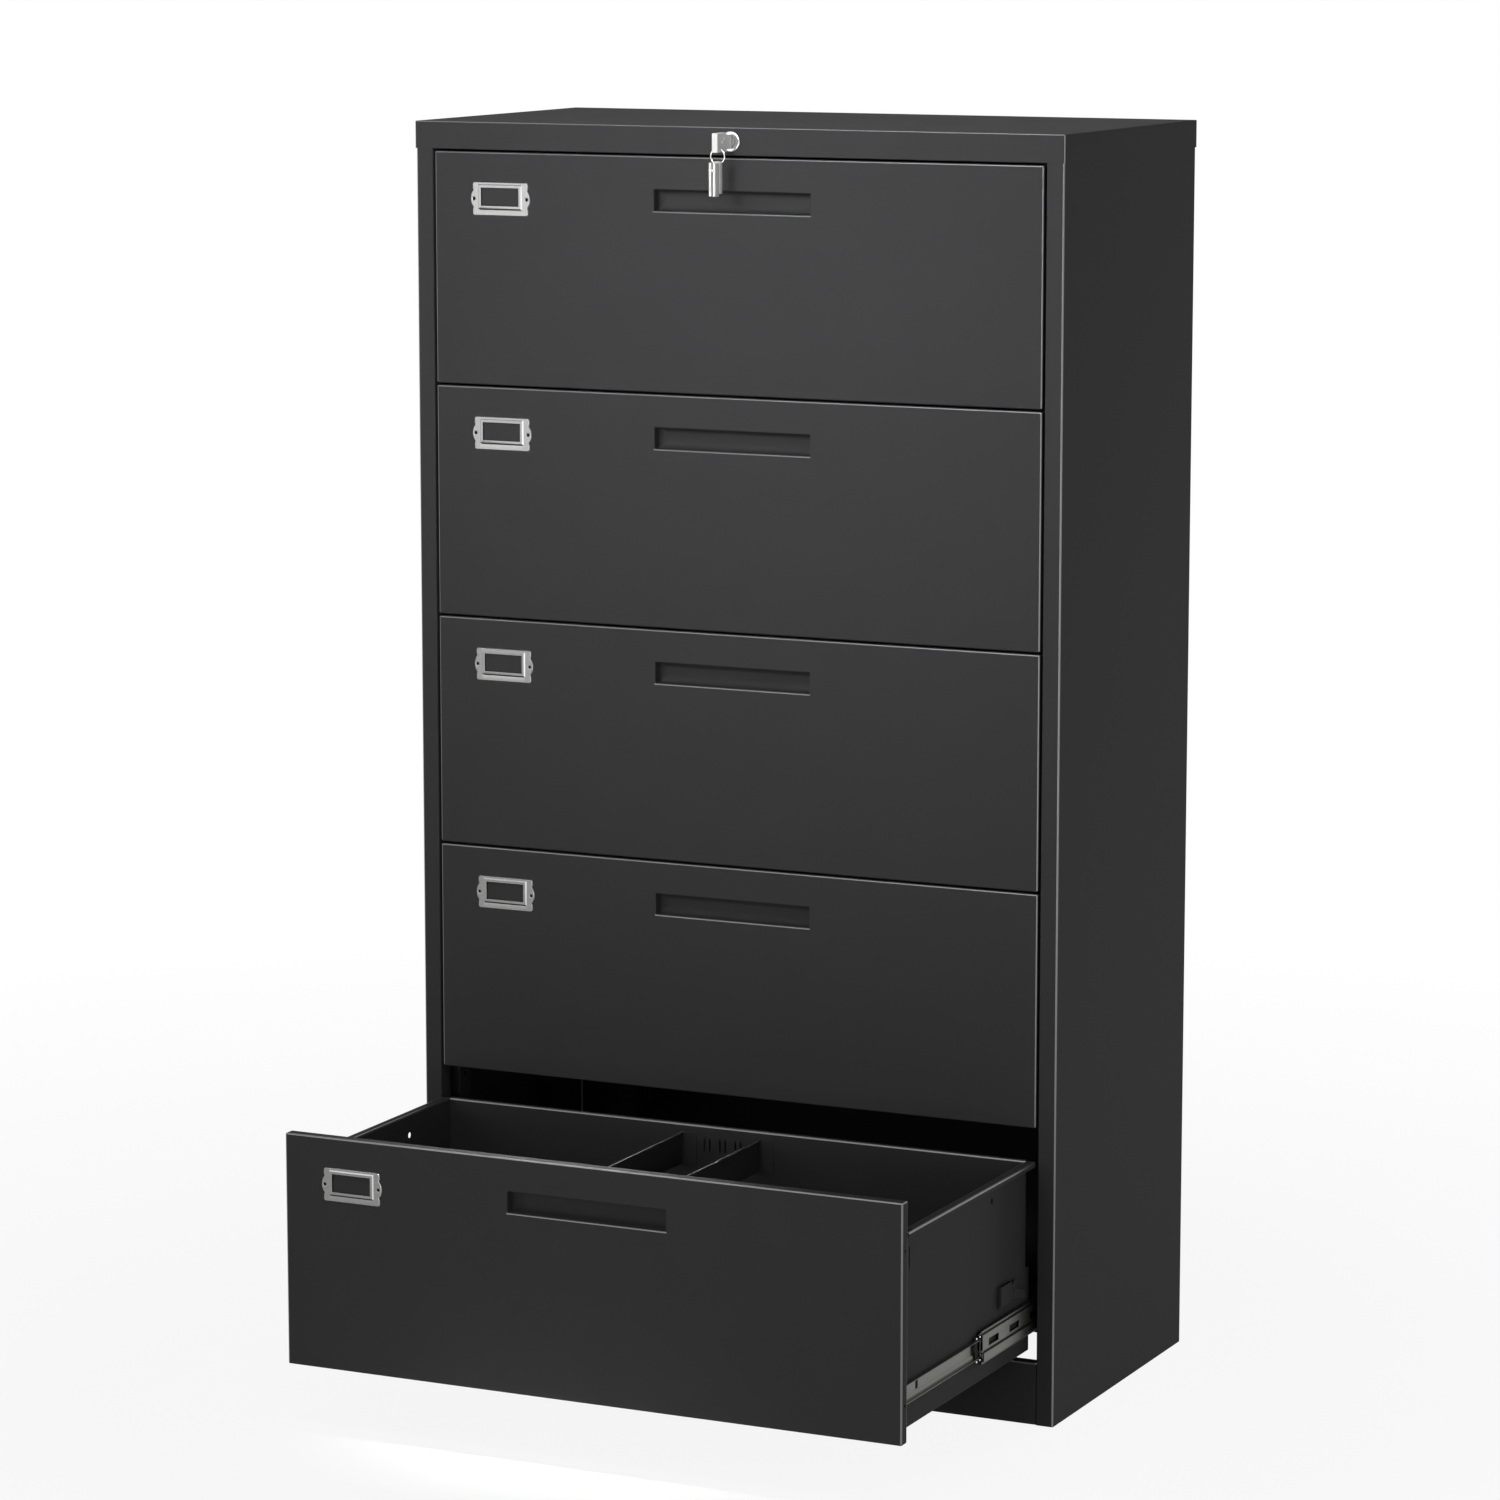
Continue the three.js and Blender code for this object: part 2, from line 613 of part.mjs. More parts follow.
function lockPlug() {
  const plug = barAlongY(PLUG_RADIUS, [PLUG_FRONT, BARREL_LENGTH], LOCK_CENTRE);
  const stub = barAlongY(PLUG_STUB_RADIUS, [BARREL_LENGTH - SHEET, CAM_BACK], LOCK_CENTRE);
  const keyway = block(
    [-KEY_BLADE_THICKNESS / 2 - SEAM, KEY_BLADE_THICKNESS / 2 + SEAM],
    [PLUG_FRONT - SHEET, PLUG_FRONT + KEY_BLADE_LENGTH + SEAM],
    [LOCK_HEIGHT - KEY_BLADE_HEIGHT / 2 - SEAM, LOCK_HEIGHT + KEY_BLADE_HEIGHT / 2 + SEAM],
  );
  return plug.add(stub).subtract(keyway);
}

// Plate on the plug's back end, with a crank pin that stands out backwards
function lockCam() {
  const crank = [CAM_CRANK, LOCK_HEIGHT];
  const hub = barAlongY(CAM_HUB_RADIUS, [CAM_FRONT, CAM_BACK], LOCK_CENTRE);
  const arm = block(
    [0, CAM_CRANK],
    [CAM_FRONT, CAM_BACK],
    [LOCK_HEIGHT - CAM_END_RADIUS, LOCK_HEIGHT + CAM_END_RADIUS],
  );
  const end = barAlongY(CAM_END_RADIUS, [CAM_FRONT, CAM_BACK], crank);
  const pin = barAlongY(CAM_PIN_RADIUS, [CAM_FRONT, CAM_BACK + CAM_PIN_LENGTH], crank, SMALL_ROUND_SIDES);
  const seat = barAlongY(PLUG_STUB_RADIUS + SEAM, [CAM_FRONT - SHEET, CAM_BACK + SHEET], LOCK_CENTRE);
  return joined([hub, arm, end]).subtract(seat).add(pin);
}

// How far the turning crank pin runs ahead of the bar, which moves evenly with the angle
function crankLead() {
  const perTurn = LOCK_DROP / (Math.PI / 2);
  const angle = Math.acos(Math.min(perTurn / CAM_CRANK, 1));
  return CAM_CRANK * Math.sin(angle) - perTurn * angle;
}

// Bent flat bar: across behind the apron, back along the side and down past every drawer
function lockBar() {
  const strip = UPRIGHT_REAR - SEAM - BAR_GAUGE;
  const outside = SKIN_INSIDE - BAR_SIDE_ROOM;
  const armHeights = [LOCK_HEIGHT - BAR_BELOW, LOCK_HEIGHT + BAR_ABOVE];
  const armEnd = -CAM_CRANK - CAM_PIN_RADIUS;
  const arm = block([armEnd, outside], [BAR_FRONT, BAR_FRONT + BAR_GAUGE], armHeights);
  const run = block([outside - BAR_GAUGE, outside], [BAR_FRONT, strip + BAR_GAUGE], armHeights);
  const earRaise = CATCH_RAISE + CATCH_HEIGHT + EAR_CLEARANCE;
  const drop = block(
    [outside - BAR_WIDTH, outside],
    [strip, strip + BAR_GAUGE],
    [drawerBase(DRAWER_COUNT) + earRaise, armHeights[1]],
  );
  const ears = [];
  for (let number = 1; number <= DRAWER_COUNT; number += 1) {
    const bottom = drawerBase(number) + earRaise;
    ears.push(block(
      [BOX_HALF + CATCH_REACH - EAR_OVERLAP, outside - BAR_WIDTH / 2],
      [strip, strip + BAR_GAUGE],
      [bottom, bottom + EAR_HEIGHT],
    ));
  }
  const pinRoom = CAM_PIN_RADIUS + SEAM;
  const slot = block(
    [-pinRoom - SEAM, CAM_CRANK + pinRoom + SEAM],
    [BAR_FRONT - SHEET, BAR_FRONT + BAR_GAUGE + SHEET],
    [LOCK_HEIGHT - crankLead() - pinRoom, LOCK_HEIGHT + pinRoom],
  );
  return joined([arm, run, drop, ...ears]).subtract(slot);
}

// Key in the lock, with a hole in its bow for a ring
function key() {
  const bow = block(
    [-BOW_THICKNESS / 2, BOW_THICKNESS / 2],
    [BOW_FRONT, BOW_BACK],
    [LOCK_HEIGHT - BOW_HEIGHT / 2, LOCK_HEIGHT + BOW_HEIGHT / 2],
  );
  const shank = block(
    [-KEY_SHANK_THICKNESS / 2, KEY_SHANK_THICKNESS / 2],
    [BOW_BACK - SHEET, SHANK_BACK],
    [LOCK_HEIGHT - KEY_SHANK_HEIGHT / 2, LOCK_HEIGHT + KEY_SHANK_HEIGHT / 2],
  );
  const blade = block(
    [-KEY_BLADE_THICKNESS / 2, KEY_BLADE_THICKNESS / 2],
    [SHANK_BACK - SHEET, PLUG_FRONT + KEY_BLADE_LENGTH],
    [LOCK_HEIGHT - KEY_BLADE_HEIGHT / 2, LOCK_HEIGHT + KEY_BLADE_HEIGHT / 2],
  );
  const hole = barAlongX(BOW_HOLE_RADIUS, [-BOW_THICKNESS, BOW_THICKNESS], BOW_HOLE);
  return joined([bow, shank, blade]).subtract(hole);
}

// Assembly

const SIDES = { left: -1, right: 1 };

function carcass() {
  const group = new THREE.Group();
  group.add(toMesh('top_cap', topCap(), blackCoat));
  group.add(toMesh('back_panel', backPanel(), blackCoat));
  group.add(toMesh('kick_plate', kickPlate(), blackCoat));
  group.add(toMesh('rear_base_rail', rearBaseRail(), blackCoat));
  for (const [name, side] of Object.entries(SIDES)) {
    group.add(toMesh(`side_panel_${name}`, sidePanel(side), blackCoat));
    group.add(toMesh(`rail_frame_${name}`, railFrame(side), zinc));
  }
  return group;
}

function lock() {
  const group = new THREE.Group();
  group.add(toMesh('lock_barrel', lockBarrel(), chrome));
  group.add(toMesh('lock_nut', lockNut(), zinc));
  group.add(toMesh('lock_plug', lockPlug(), chrome));
  group.add(toMesh('lock_cam', lockCam(), zinc));
  group.add(toMesh('lock_bar', lockBar(), zinc));
  group.add(toMesh('key', key(), nickel));
  return group;
}

function drawer(number, travel) {
  const group = new THREE.Group();
  const label = `drawer_${number}`;
  group.position.set(0, -travel, drawerBase(number));
  group.add(toMesh(`${label}_front`, drawerFront(), blackCoat));
  group.add(toMesh(`${label}_box`, drawerBox(), blackCoat));
  group.add(toMesh(`${label}_label_holder`, labelHolder(), nickel));
  for (const [name, side] of Object.entries(SIDES)) {
    group.add(toMesh(`${label}_file_bar_${name}`, fileBar(side * OUTER_PAIR), blackCoat));
    group.add(toMesh(`${label}_slide_inner_${name}`, innerMember(side), zinc));
  }
  return group;
}

// The middle members travel half as far as their drawer
function runners(number, travel) {
  const group = new THREE.Group();
  group.position.set(0, -travel / 2, drawerBase(number));
  for (const [name, side] of Object.entries(SIDES)) {
    group.add(toMesh(`drawer_${number}_slide_middle_${name}`, middleMember(side), zinc));
  }
  return group;
}

const cabinet = new THREE.Group();
cabinet.position.y = -KICK_FLOOR / 2;
cabinet.add(carcass(), lock());
for (let number = 1; number <= DRAWER_COUNT; number += 1) {
  const travel = number === DRAWER_COUNT ? OPEN_DRAWER_TRAVEL : 0;
  cabinet.add(drawer(number, travel), runners(number, travel));
}

export default cabinet;
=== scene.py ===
"""Five-drawer lateral filing cabinet in black coated sheet steel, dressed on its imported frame."""

import math

import bmesh
import bpy
from bpy.props import FloatProperty, FloatVectorProperty, PointerProperty
from mathutils import Matrix, Vector


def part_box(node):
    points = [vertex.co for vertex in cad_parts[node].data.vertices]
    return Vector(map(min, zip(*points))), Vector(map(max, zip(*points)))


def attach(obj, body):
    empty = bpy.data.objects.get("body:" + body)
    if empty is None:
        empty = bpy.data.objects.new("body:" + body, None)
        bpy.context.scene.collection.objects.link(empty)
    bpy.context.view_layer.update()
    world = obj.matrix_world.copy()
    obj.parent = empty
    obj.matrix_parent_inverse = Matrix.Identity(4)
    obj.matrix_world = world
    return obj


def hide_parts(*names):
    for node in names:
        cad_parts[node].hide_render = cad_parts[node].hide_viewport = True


bl_info = {
    "name": "Lateral filing cabinet",
    "version": (1, 0, 0),
    "blender": (4, 5, 0),
    "location": "3D View > Sidebar > Cabinet",
    "description": "Builds the visible sheet metal, slides, label holders, lock and keys of a filing cabinet",
    "category": "Object",
}

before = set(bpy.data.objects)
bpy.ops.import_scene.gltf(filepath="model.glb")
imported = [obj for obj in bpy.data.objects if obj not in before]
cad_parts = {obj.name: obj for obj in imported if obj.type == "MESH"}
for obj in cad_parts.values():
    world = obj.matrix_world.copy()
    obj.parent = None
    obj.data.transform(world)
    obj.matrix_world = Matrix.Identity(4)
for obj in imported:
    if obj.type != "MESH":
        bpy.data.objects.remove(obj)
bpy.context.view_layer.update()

# Places read from the frame, in metres. A drawer's pieces are drawn from its front's lower edge,
# a runner's from its front end and the slide's middle line, and the rest from the front plane.
NUMBERS = range(1, 6)
SIDES = {"left": -1, "right": 1}
SLIDE_LINE = 0.057
CARCASS_AT = Vector((0.0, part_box("side_panel_right")[0].y, 0.0))
DRAWER_AT = {n: Vector((0.0, *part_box(f"drawer_{n}_front")[0].yz)) for n in NUMBERS}
RUNNER_AT = {
    n: Vector((0.0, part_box(f"drawer_{n}_slide_middle_right")[0].y, DRAWER_AT[n].z + SLIDE_LINE))
    for n in NUMBERS
}
FRONT_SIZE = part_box("drawer_1_front")[1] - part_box("drawer_1_front")[0]
BOX_LOW, BOX_HIGH = (corner - DRAWER_AT[1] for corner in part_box("drawer_1_box"))
BOX_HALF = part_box("drawer_1_slide_inner_right")[0].x - 0.0003
BOX_FRONT_WALL = 0.0216
BOX_BACK_WALL = 0.408
HOLDER_LOW, HOLDER_HIGH = (corner - DRAWER_AT[1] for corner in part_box("drawer_1_label_holder"))
HOLDER_MIDDLE = (HOLDER_LOW + HOLDER_HIGH) / 2
EAR_HOLE = 0.038
LOCK_MIDDLE = sum(corner.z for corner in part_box("lock_barrel")) / 2


def linear(code):
    """Linear colour of an sRGB hex value."""
    parts = [int(code[i : i + 2], 16) / 255 for i in (1, 3, 5)]
    return [p / 12.92 if p <= 0.04045 else ((p + 0.055) / 1.055) ** 2.4 for p in parts]


def length(name, description, default):
    return FloatProperty(name=name, description=description, default=default, min=0.0, unit="LENGTH")


def colour(name, description, code):
    return FloatVectorProperty(
        name=name, description=description, default=linear(code), min=0.0, max=1.0, subtype="COLOR"
    )


class CabinetSizes(bpy.types.PropertyGroup):
    """Sizes of the sheet metal and of the small fittings."""

    sheet: length("Sheet", "Thickness of the folded sheet", 0.0008)
    fold: length("Fold radius", "Outside radius of every fold", 0.0018)
    pull_width: length("Pull width", "Width of the finger recess", 0.217)
    pull_height: length("Pull height", "Height of the finger recess", 0.027)
    pull_depth: length("Pull depth", "Depth of the finger recess", 0.02)
    pull_curve: length("Pull curve", "Radius at the ends of the finger recess", 0.009)
    pull_drop: length("Pull drop", "From the front's top edge down to the recess", 0.042)
    slide_gauge: length("Slide gauge", "Thickness of the slides' steel strip", 0.0012)
    ball: length("Ball", "Radius of the slides' steel balls", 0.0016)
    ring: length("Key ring", "Radius of the ring that carries the spare key", 0.0095)
    wire: length("Ring wire", "Radius of the key ring's wire", 0.0009)


class CabinetColours(bpy.types.PropertyGroup):
    """Colours of the finishes."""

    coat: colour("Coat", "Black powder coat", "#373738")
    zinc: colour("Zinc", "Zinc plate on the slides", "#63635e")
    nickel: colour("Nickel", "Satin nickel plate on the label holders", "#828281")
    key: colour("Key plate", "Bright nickel plate on the keys", "#bcbcba")
    # Chrome's colour is also a painted highlight on the label holders' edges
    chrome: colour("Chrome", "Chrome plate on the lock and ring", "#d2d3d4")
    # The cage's dark tone is partly its own and partly painted shade seen through the slide's slots
    cage: colour("Cage", "Dark phosphated steel of the ball cages", "#1f1f1e")


# Materials

def add_node(tree, kind, inputs=None, **settings):
    """Adds one node with its settings, and sets or links its inputs."""
    made = tree.nodes.new(kind)
    for name, value in settings.items():
        setattr(made, name, value)
    for name, value in (inputs or {}).items():
        if isinstance(value, bpy.types.NodeSocket):
            tree.links.new(value, made.inputs[name])
        else:
            made.inputs[name].default_value = value
    return made


def grains_of(millimetres):
    """Scale of a noise pattern whose grains are so many millimetres across."""
    return 1000.0 / millimetres


def new_material(name):
    material = bpy.data.materials.new(name)
    material.use_nodes = True
    material.node_tree.nodes.clear()
    return material, material.node_tree


def coated(name, rgb, gloss, specular, ior):
    """Powder coat baked on steel: satin black, with a faint orange peel that breaks up the gloss."""
    material, tree = new_material(name)
    place = add_node(tree, "ShaderNodeTexCoord").outputs["Object"]
    # Powder melts into ripples about 2 mm across, and the film's gloss drifts over some 60 mm
    ripple = add_node(
        tree, "ShaderNodeTexNoise", {"Vector": place, "Scale": grains_of(2.0), "Detail": 2.0}
    )
    drift = add_node(
        tree, "ShaderNodeTexNoise", {"Vector": place, "Scale": grains_of(60.0), "Detail": 3.0}
    )
    tone = add_node(tree, "ShaderNodeMix", {"Factor": drift.outputs["Fac"]}, data_type="RGBA")
    tone.inputs[6].default_value = [channel * 0.95 for channel in rgb] + [1.0]
    tone.inputs[7].default_value = [channel * 1.05 for channel in rgb] + [1.0]
    rough = add_node(
        tree,
        "ShaderNodeMapRange",
        {
            "Value": drift.outputs["Fac"],
            "From Min": 0.3,
            "From Max": 0.7,
            "To Min": gloss * 0.97,
            "To Max": gloss * 1.03,
        },
    )
    bump = add_node(
        tree,
        "ShaderNodeBump",
        {"Height": ripple.outputs["Fac"], "Strength": 0.03, "Distance": 0.0005},
    )
    shader = add_node(
        tree,
        "ShaderNodeBsdfPrincipled",
        {
            "Base Color": tone.outputs[2],
            "Roughness": rough.outputs["Result"],
            "Normal": bump.outputs["Normal"],
            "IOR": ior,
            "Specular IOR Level": specular,
        },
    )
    add_node(tree, "ShaderNodeOutputMaterial", {"Surface": shader.outputs["BSDF"]})
    return material


def plated(name, rgb, roughness, streak, grain):
    """Plated steel: bright metal whose fine lines run one way and spread its reflections."""
    material, tree = new_material(name)
    place = add_node(tree, "ShaderNodeTexCoord").outputs["Object"]
    # Drawing lines are finer than a pixel, so they are drawn as wide as they need to show
    lines = add_node(tree, "ShaderNodeMapping", {"Vector": place, "Scale": streak})
    grains = add_node(
        tree,
        "ShaderNodeTexNoise",
        {"Vector": lines.outputs["Vector"], "Scale": grains_of(grain), "Detail": 3.0},
    )
    tone = add_node(tree, "ShaderNodeMix", {"Factor": grains.outputs["Fac"]}, data_type="RGBA")
    tone.inputs[6].default_value = [channel * 0.85 for channel in rgb] + [1.0]
    tone.inputs[7].default_value = [min(channel * 1.1, 1.0) for channel in rgb] + [1.0]
    gloss = add_node(
        tree,
        "ShaderNodeMapRange",
        {
            "Value": grains.outputs["Fac"],
            "From Min": 0.3,
            "From Max": 0.7,
            "To Min": roughness * 0.88,
            "To Max": roughness * 1.15,
        },
    )
    bump = add_node(
        tree,
        "ShaderNodeBump",
        {"Height": grains.outputs["Fac"], "Strength": 0.04, "Distance": 0.0002},
    )
    shader = add_node(
        tree,
        "ShaderNodeBsdfPrincipled",
        {
            "Base Color": tone.outputs[2],
            "Roughness": gloss.outputs["Result"],
            "Normal": bump.outputs["Normal"],
            "Metallic": 1.0,
        },
    )
    add_node(tree, "ShaderNodeOutputMaterial", {"Surface": shader.outputs["BSDF"]})
    return material


# Each finish by its short name: material name, the record's slot, colour, and roughness with either
# the coat's reflection level and index or the plate's line direction and grain in millimetres.
# Powder lies thinner over a fold and takes a harder gloss from hands and cloths. The satin
# plate's raised edges take the brighter chrome colour instead, a painted highlight along them.
COATS = {
    "coat": ("black_powder_coat", "black_coat", "coat", 0.6, 0.012, 1.5),
    "fold": ("black_powder_coat_on_folds", "black_coat", "coat", 0.34, 1.0, 1.65),
    # Dark phosphated steel, kept darker as painted shade behind the slide's slots
    "cage": ("phosphated_steel", "zinc_steel", "cage", 0.55, 0.05, 1.5),
}
PLATES = {
    "zinc": ("zinc_plated_steel", "zinc_steel", "zinc", 0.33, (1.0, 0.06, 1.0), 1.5),
    "nickel": ("satin_nickel_plate", "satin_nickel", "nickel", 0.3, (0.08, 1.0, 1.0), 0.9),
    # Chrome colour on the satin plate's edges: a painted highlight
    "edge": ("nickel_plate_on_edges", "satin_nickel", "chrome", 0.3, (1.0, 1.0, 1.0), 0.9),
    "key": ("bright_nickel_plate", "satin_nickel", "key", 0.75, (1.0, 1.0, 0.1), 0.8),
    "chrome": ("bright_chrome_plate", "chrome", "chrome", 0.16, (1.0, 1.0, 1.0), 6.0),
}
# Coat folds take a harder gloss; nickel edges take a painted highlight in the chrome colour
RUBBED_AND_PAINTED_HIGHLIGHT = {"coat": "fold", "nickel": "edge"}


def finish_of(kind):
    """The finish by its short name, made once."""
    name, slot, shade, *look = (COATS.get(kind) or PLATES[kind])
    found = bpy.data.materials.get(name)
    if found:
        return found
    rgb = list(getattr(bpy.context.scene.cabinet_colours, shade))
    return coated(name, rgb, *look) if kind in COATS else plated(name, rgb, *look)


# Shaping

def turn_outwards(bm, inside):
    """Makes the faces look one way, the largest of them away from a point."""
    bmesh.ops.recalc_face_normals(bm, faces=bm.faces[:])
    bm.normal_update()
    main = max(bm.faces, key=lambda f: f.calc_area())
    if (main.calc_center_median() - Vector(inside)).dot(main.normal) < 0:
        bmesh.ops.reverse_faces(bm, faces=bm.faces[:])


def folded(path, along, radius, inside, segments=3):
    """Sheet that follows a path of a few points along a vector, faces away from a point, folds rounded."""
    bm = bmesh.new()
    corners = [bm.verts.new(point) for point in path]
    edges = [bm.edges.new(pair) for pair in zip(corners, corners[1:])]
    push(bm, bmesh.ops.extrude_edge_only(bm, edges=edges)["geom"], along)
    turn_outwards(bm, inside)
    round_folds(bm, radius, segments)
    return bm


def push(bm, geom, along):
    """Moves the vertices of what was just extruded."""
    ends = [part for part in geom if isinstance(part, bmesh.types.BMVert)]
    bmesh.ops.translate(bm, vec=along, verts=ends)
    return ends


def round_folds(bm, radius, segments=3):
    """Rounds the edges where two faces meet at an angle, and gives all but the lowest the finish of folds."""
    bm.normal_update()
    folds = [e for e in bm.edges if len(e.link_faces) == 2 and e.calc_face_angle() > 0.3]
    rounded = bmesh.ops.bevel(
        bm,
        geom=folds,
        offset=radius,
        offset_type="OFFSET",
        segments=segments,
        profile=0.5,
        affect="EDGES",
        material=-1,
        clamp_overlap=True,
    )
    foot = min(v.co.z for v in bm.verts) + 0.005
    for face in rounded["faces"]:
        face.material_index = int(face.calc_center_median().z > foot)


def unrubbed(bm):
    """Gives the folds of a piece that no hand reaches the plain finish."""
    for face in bm.faces:
        face.material_index = 0
    return bm


def block(low, high):
    """Box between two corners."""
    bm = bmesh.new()
    low, high = Vector(low), Vector(high)
    place = Matrix.Translation((low + high) / 2) @ Matrix.Diagonal((*(high - low), 1.0))
    bmesh.ops.create_cube(bm, size=1.0, matrix=place)
    bm.normal_update()
    return bm


def plate_of(corners, along, radius, segments=2):
    """Solid plate from a flat outline of a few points, thickened along a vector, edges rounded."""
    bm = bmesh.new()
    face = bm.faces.new([bm.verts.new(corner) for corner in corners])
    push(bm, bmesh.ops.extrude_face_region(bm, geom=[face])["geom"], along)
    bmesh.ops.recalc_face_normals(bm, faces=bm.faces[:])
    round_folds(bm, radius, segments)
    return bm


def merged(*parts):
    """One bmesh that holds several."""
    whole = parts[0]
    for part in parts[1:]:
        kept = bpy.data.meshes.new("kept")
        part.to_mesh(kept)
        part.free()
        whole.from_mesh(kept)
        bpy.data.meshes.remove(kept)
    return whole


def overlaps(face, low, high):
    """True where a face and a box share more than a border."""
    for axis in range(3):
        places = [v.co[axis] for v in face.verts]
        if min(places) > high[axis] - 1e-6 or max(places) < low[axis] + 1e-6:
            return False
    return True


def within(point, low, high):
    return all(low[axis] < point[axis] < high[axis] for axis in range(3))


def score(bm, low, high):
    """Cuts the faces that a box crosses along the box's sides, and returns the faces inside it."""
    low, high = Vector(low), Vector(high)
    for axis in range(3):
        for limit in (low[axis], high[axis]):
            touched = [f for f in bm.faces if overlaps(f, low, high)]
            geom = {*touched}
            for face in touched:
                geom.update(face.edges, face.verts)
            normal = Vector((0.0, 0.0, 0.0))
            normal[axis] = 1.0
            bmesh.ops.bisect_plane(bm, geom=list(geom), dist=1e-7, plane_co=normal * limit, plane_no=normal)
    return [f for f in bm.faces if within(f.calc_center_median(), low, high)]


def cut_window(bm, low, high):
    """Takes the faces inside a box out of a sheet."""
    bmesh.ops.delete(bm, geom=score(bm, low, high), context="FACES")


def drill(bm, centre, axis, radius):
    """Round hole in a flat face, made from a square that is cut free and drawn in. Returns the hole's rim."""
    centre = Vector(centre)
    reach = Vector((1.6 * radius,) * 3)
    reach[axis] = 0.0003
    (square,) = score(bm, centre - reach, centre + reach)
    bmesh.ops.bisect_edges(bm, edges=square.edges[:], cuts=3)
    bmesh.ops.inset_region(bm, faces=[square], thickness=0.2 * radius)
    for corner in square.verts:
        corner.co = centre + (corner.co - centre).normalized() * radius
    rim = square.edges[:]
    bmesh.ops.delete(bm, geom=[square], context="FACES_ONLY")
    return rim


def bore(bm, centre, reach, radius):
    """Round hole along X right through a solid: both faces are drilled and their rims joined."""
    centre = Vector(centre)
    rims = []
    for end in (-reach, reach):
        rims += drill(bm, centre + Vector((end, 0.0, 0.0)), 0, radius)
    bmesh.ops.bridge_loops(bm, edges=rims)
    bmesh.ops.recalc_face_normals(bm, faces=bm.faces[:])


def spun(profile, centre, steps=40, closed=True):
    """Turned piece about the Y axis through a place in X and Z, from a profile of radius and y."""
    bm = bmesh.new()
    corners = [bm.verts.new((radius, y, 0.0)) for radius, y in profile]
    pairs = list(zip(corners, corners[1:])) + ([(corners[-1], corners[0])] if closed else [])
    edges = [bm.edges.new(pair) for pair in pairs]
    bmesh.ops.spin(
        bm,
        geom=corners + edges,
        cent=(0.0, 0.0, 0.0),
        axis=(0.0, 1.0, 0.0),
        dvec=(0.0, 0.0, 0.0),
        angle=2 * math.pi,
        steps=steps,
        use_merge=True,
        use_duplicate=False,
    )
    bmesh.ops.remove_doubles(bm, verts=bm.verts[:], dist=1e-6)
    bmesh.ops.recalc_face_normals(bm, faces=bm.faces[:])
    bmesh.ops.translate(bm, vec=(centre[0], 0.0, centre[1]), verts=bm.verts[:])
    return bm


def piece(name, bm, finish, body, place, nodes=(), sheet=0.0):
    """Turns a bmesh into a finished piece: set in place, coated, thickened, riding on its body."""
    bmesh.ops.translate(bm, vec=place, verts=bm.verts[:])
    for face in bm.faces:
        face.smooth = True
    mesh = bpy.data.meshes.new(name)
    bm.to_mesh(mesh)
    bm.free()
    mesh.set_sharp_from_angle(angle=math.radians(50))
    mesh.materials.append(finish_of(finish))
    # The second slot holds the folds' finish, which on nickel is a painted highlight in the chrome colour
    mesh.materials.append(finish_of(RUBBED_AND_PAINTED_HIGHLIGHT.get(finish, finish)))
    made = bpy.data.objects.new(name, mesh)
    bpy.context.scene.collection.objects.link(made)
    if sheet:
        wall = made.modifiers.new("Sheet", "SOLIDIFY")
        wall.thickness = sheet
        wall.offset = -1.0
        wall.use_even_offset = True
    even = made.modifiers.new("Even shading", "WEIGHTED_NORMAL")
    even.keep_sharp = True
    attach(made, body)
    if nodes:
        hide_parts(*nodes)
    return made


def on_each_drawer(bm, name, finish, node=None, sheet=0.0):
    """Puts a copy of one shape on every drawer, in the place of a node of each."""
    for number in NUMBERS:
        nodes = [f"drawer_{number}_{node}"] if node else []
        piece(f"{name}_{number}", bm.copy(), finish, f"drawer_{number}", DRAWER_AT[number], nodes, sheet)
    bm.free()


class CABINET_OT_top_cap(bpy.types.Operator):
    """Top cap folded from one sheet, with an apron that holds the lock"""

    bl_idname = "cabinet.top_cap"
    bl_label = "Top cap"

    def execute(self, context):
        size = context.scene.cabinet_sizes
        low, high = (corner - CARCASS_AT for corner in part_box("top_cap"))
        bm = block(low, high)
        bmesh.ops.delete(bm, geom=[f for f in bm.faces if f.normal.z < -0.5], context="FACES")
        # Between the posts the apron's lower edge is turned inwards
        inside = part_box("kick_plate")[1].x
        score(bm, (-inside, low.y - 0.001, low.z - 0.001), (inside, low.y + 0.001, high.z + 0.001))
        lip = [e for e in bm.edges if e.is_boundary and self.on_apron(e, low.y, inside)]
        push(bm, bmesh.ops.extrude_edge_only(bm, edges=lip)["geom"], (0.0, 0.015, 0.0))
        round_folds(bm, size.fold)
        # The top's side edges keep the plain coat
        for face in bm.faces:
            if abs(face.calc_center_median().x) > high.x - size.fold and abs(face.normal.y) < 0.1:
                face.material_index = 0
        drill(bm, (0.0, low.y, LOCK_MIDDLE), 1, 0.0098)
        piece("cap", bm, "coat", "carcass", CARCASS_AT, ["top_cap"], size.sheet)
        return {"FINISHED"}

    def on_apron(self, edge, front, inside):
        return all(abs(v.co.y - front) < 1e-6 and abs(v.co.x) < inside + 1e-5 for v in edge.verts)


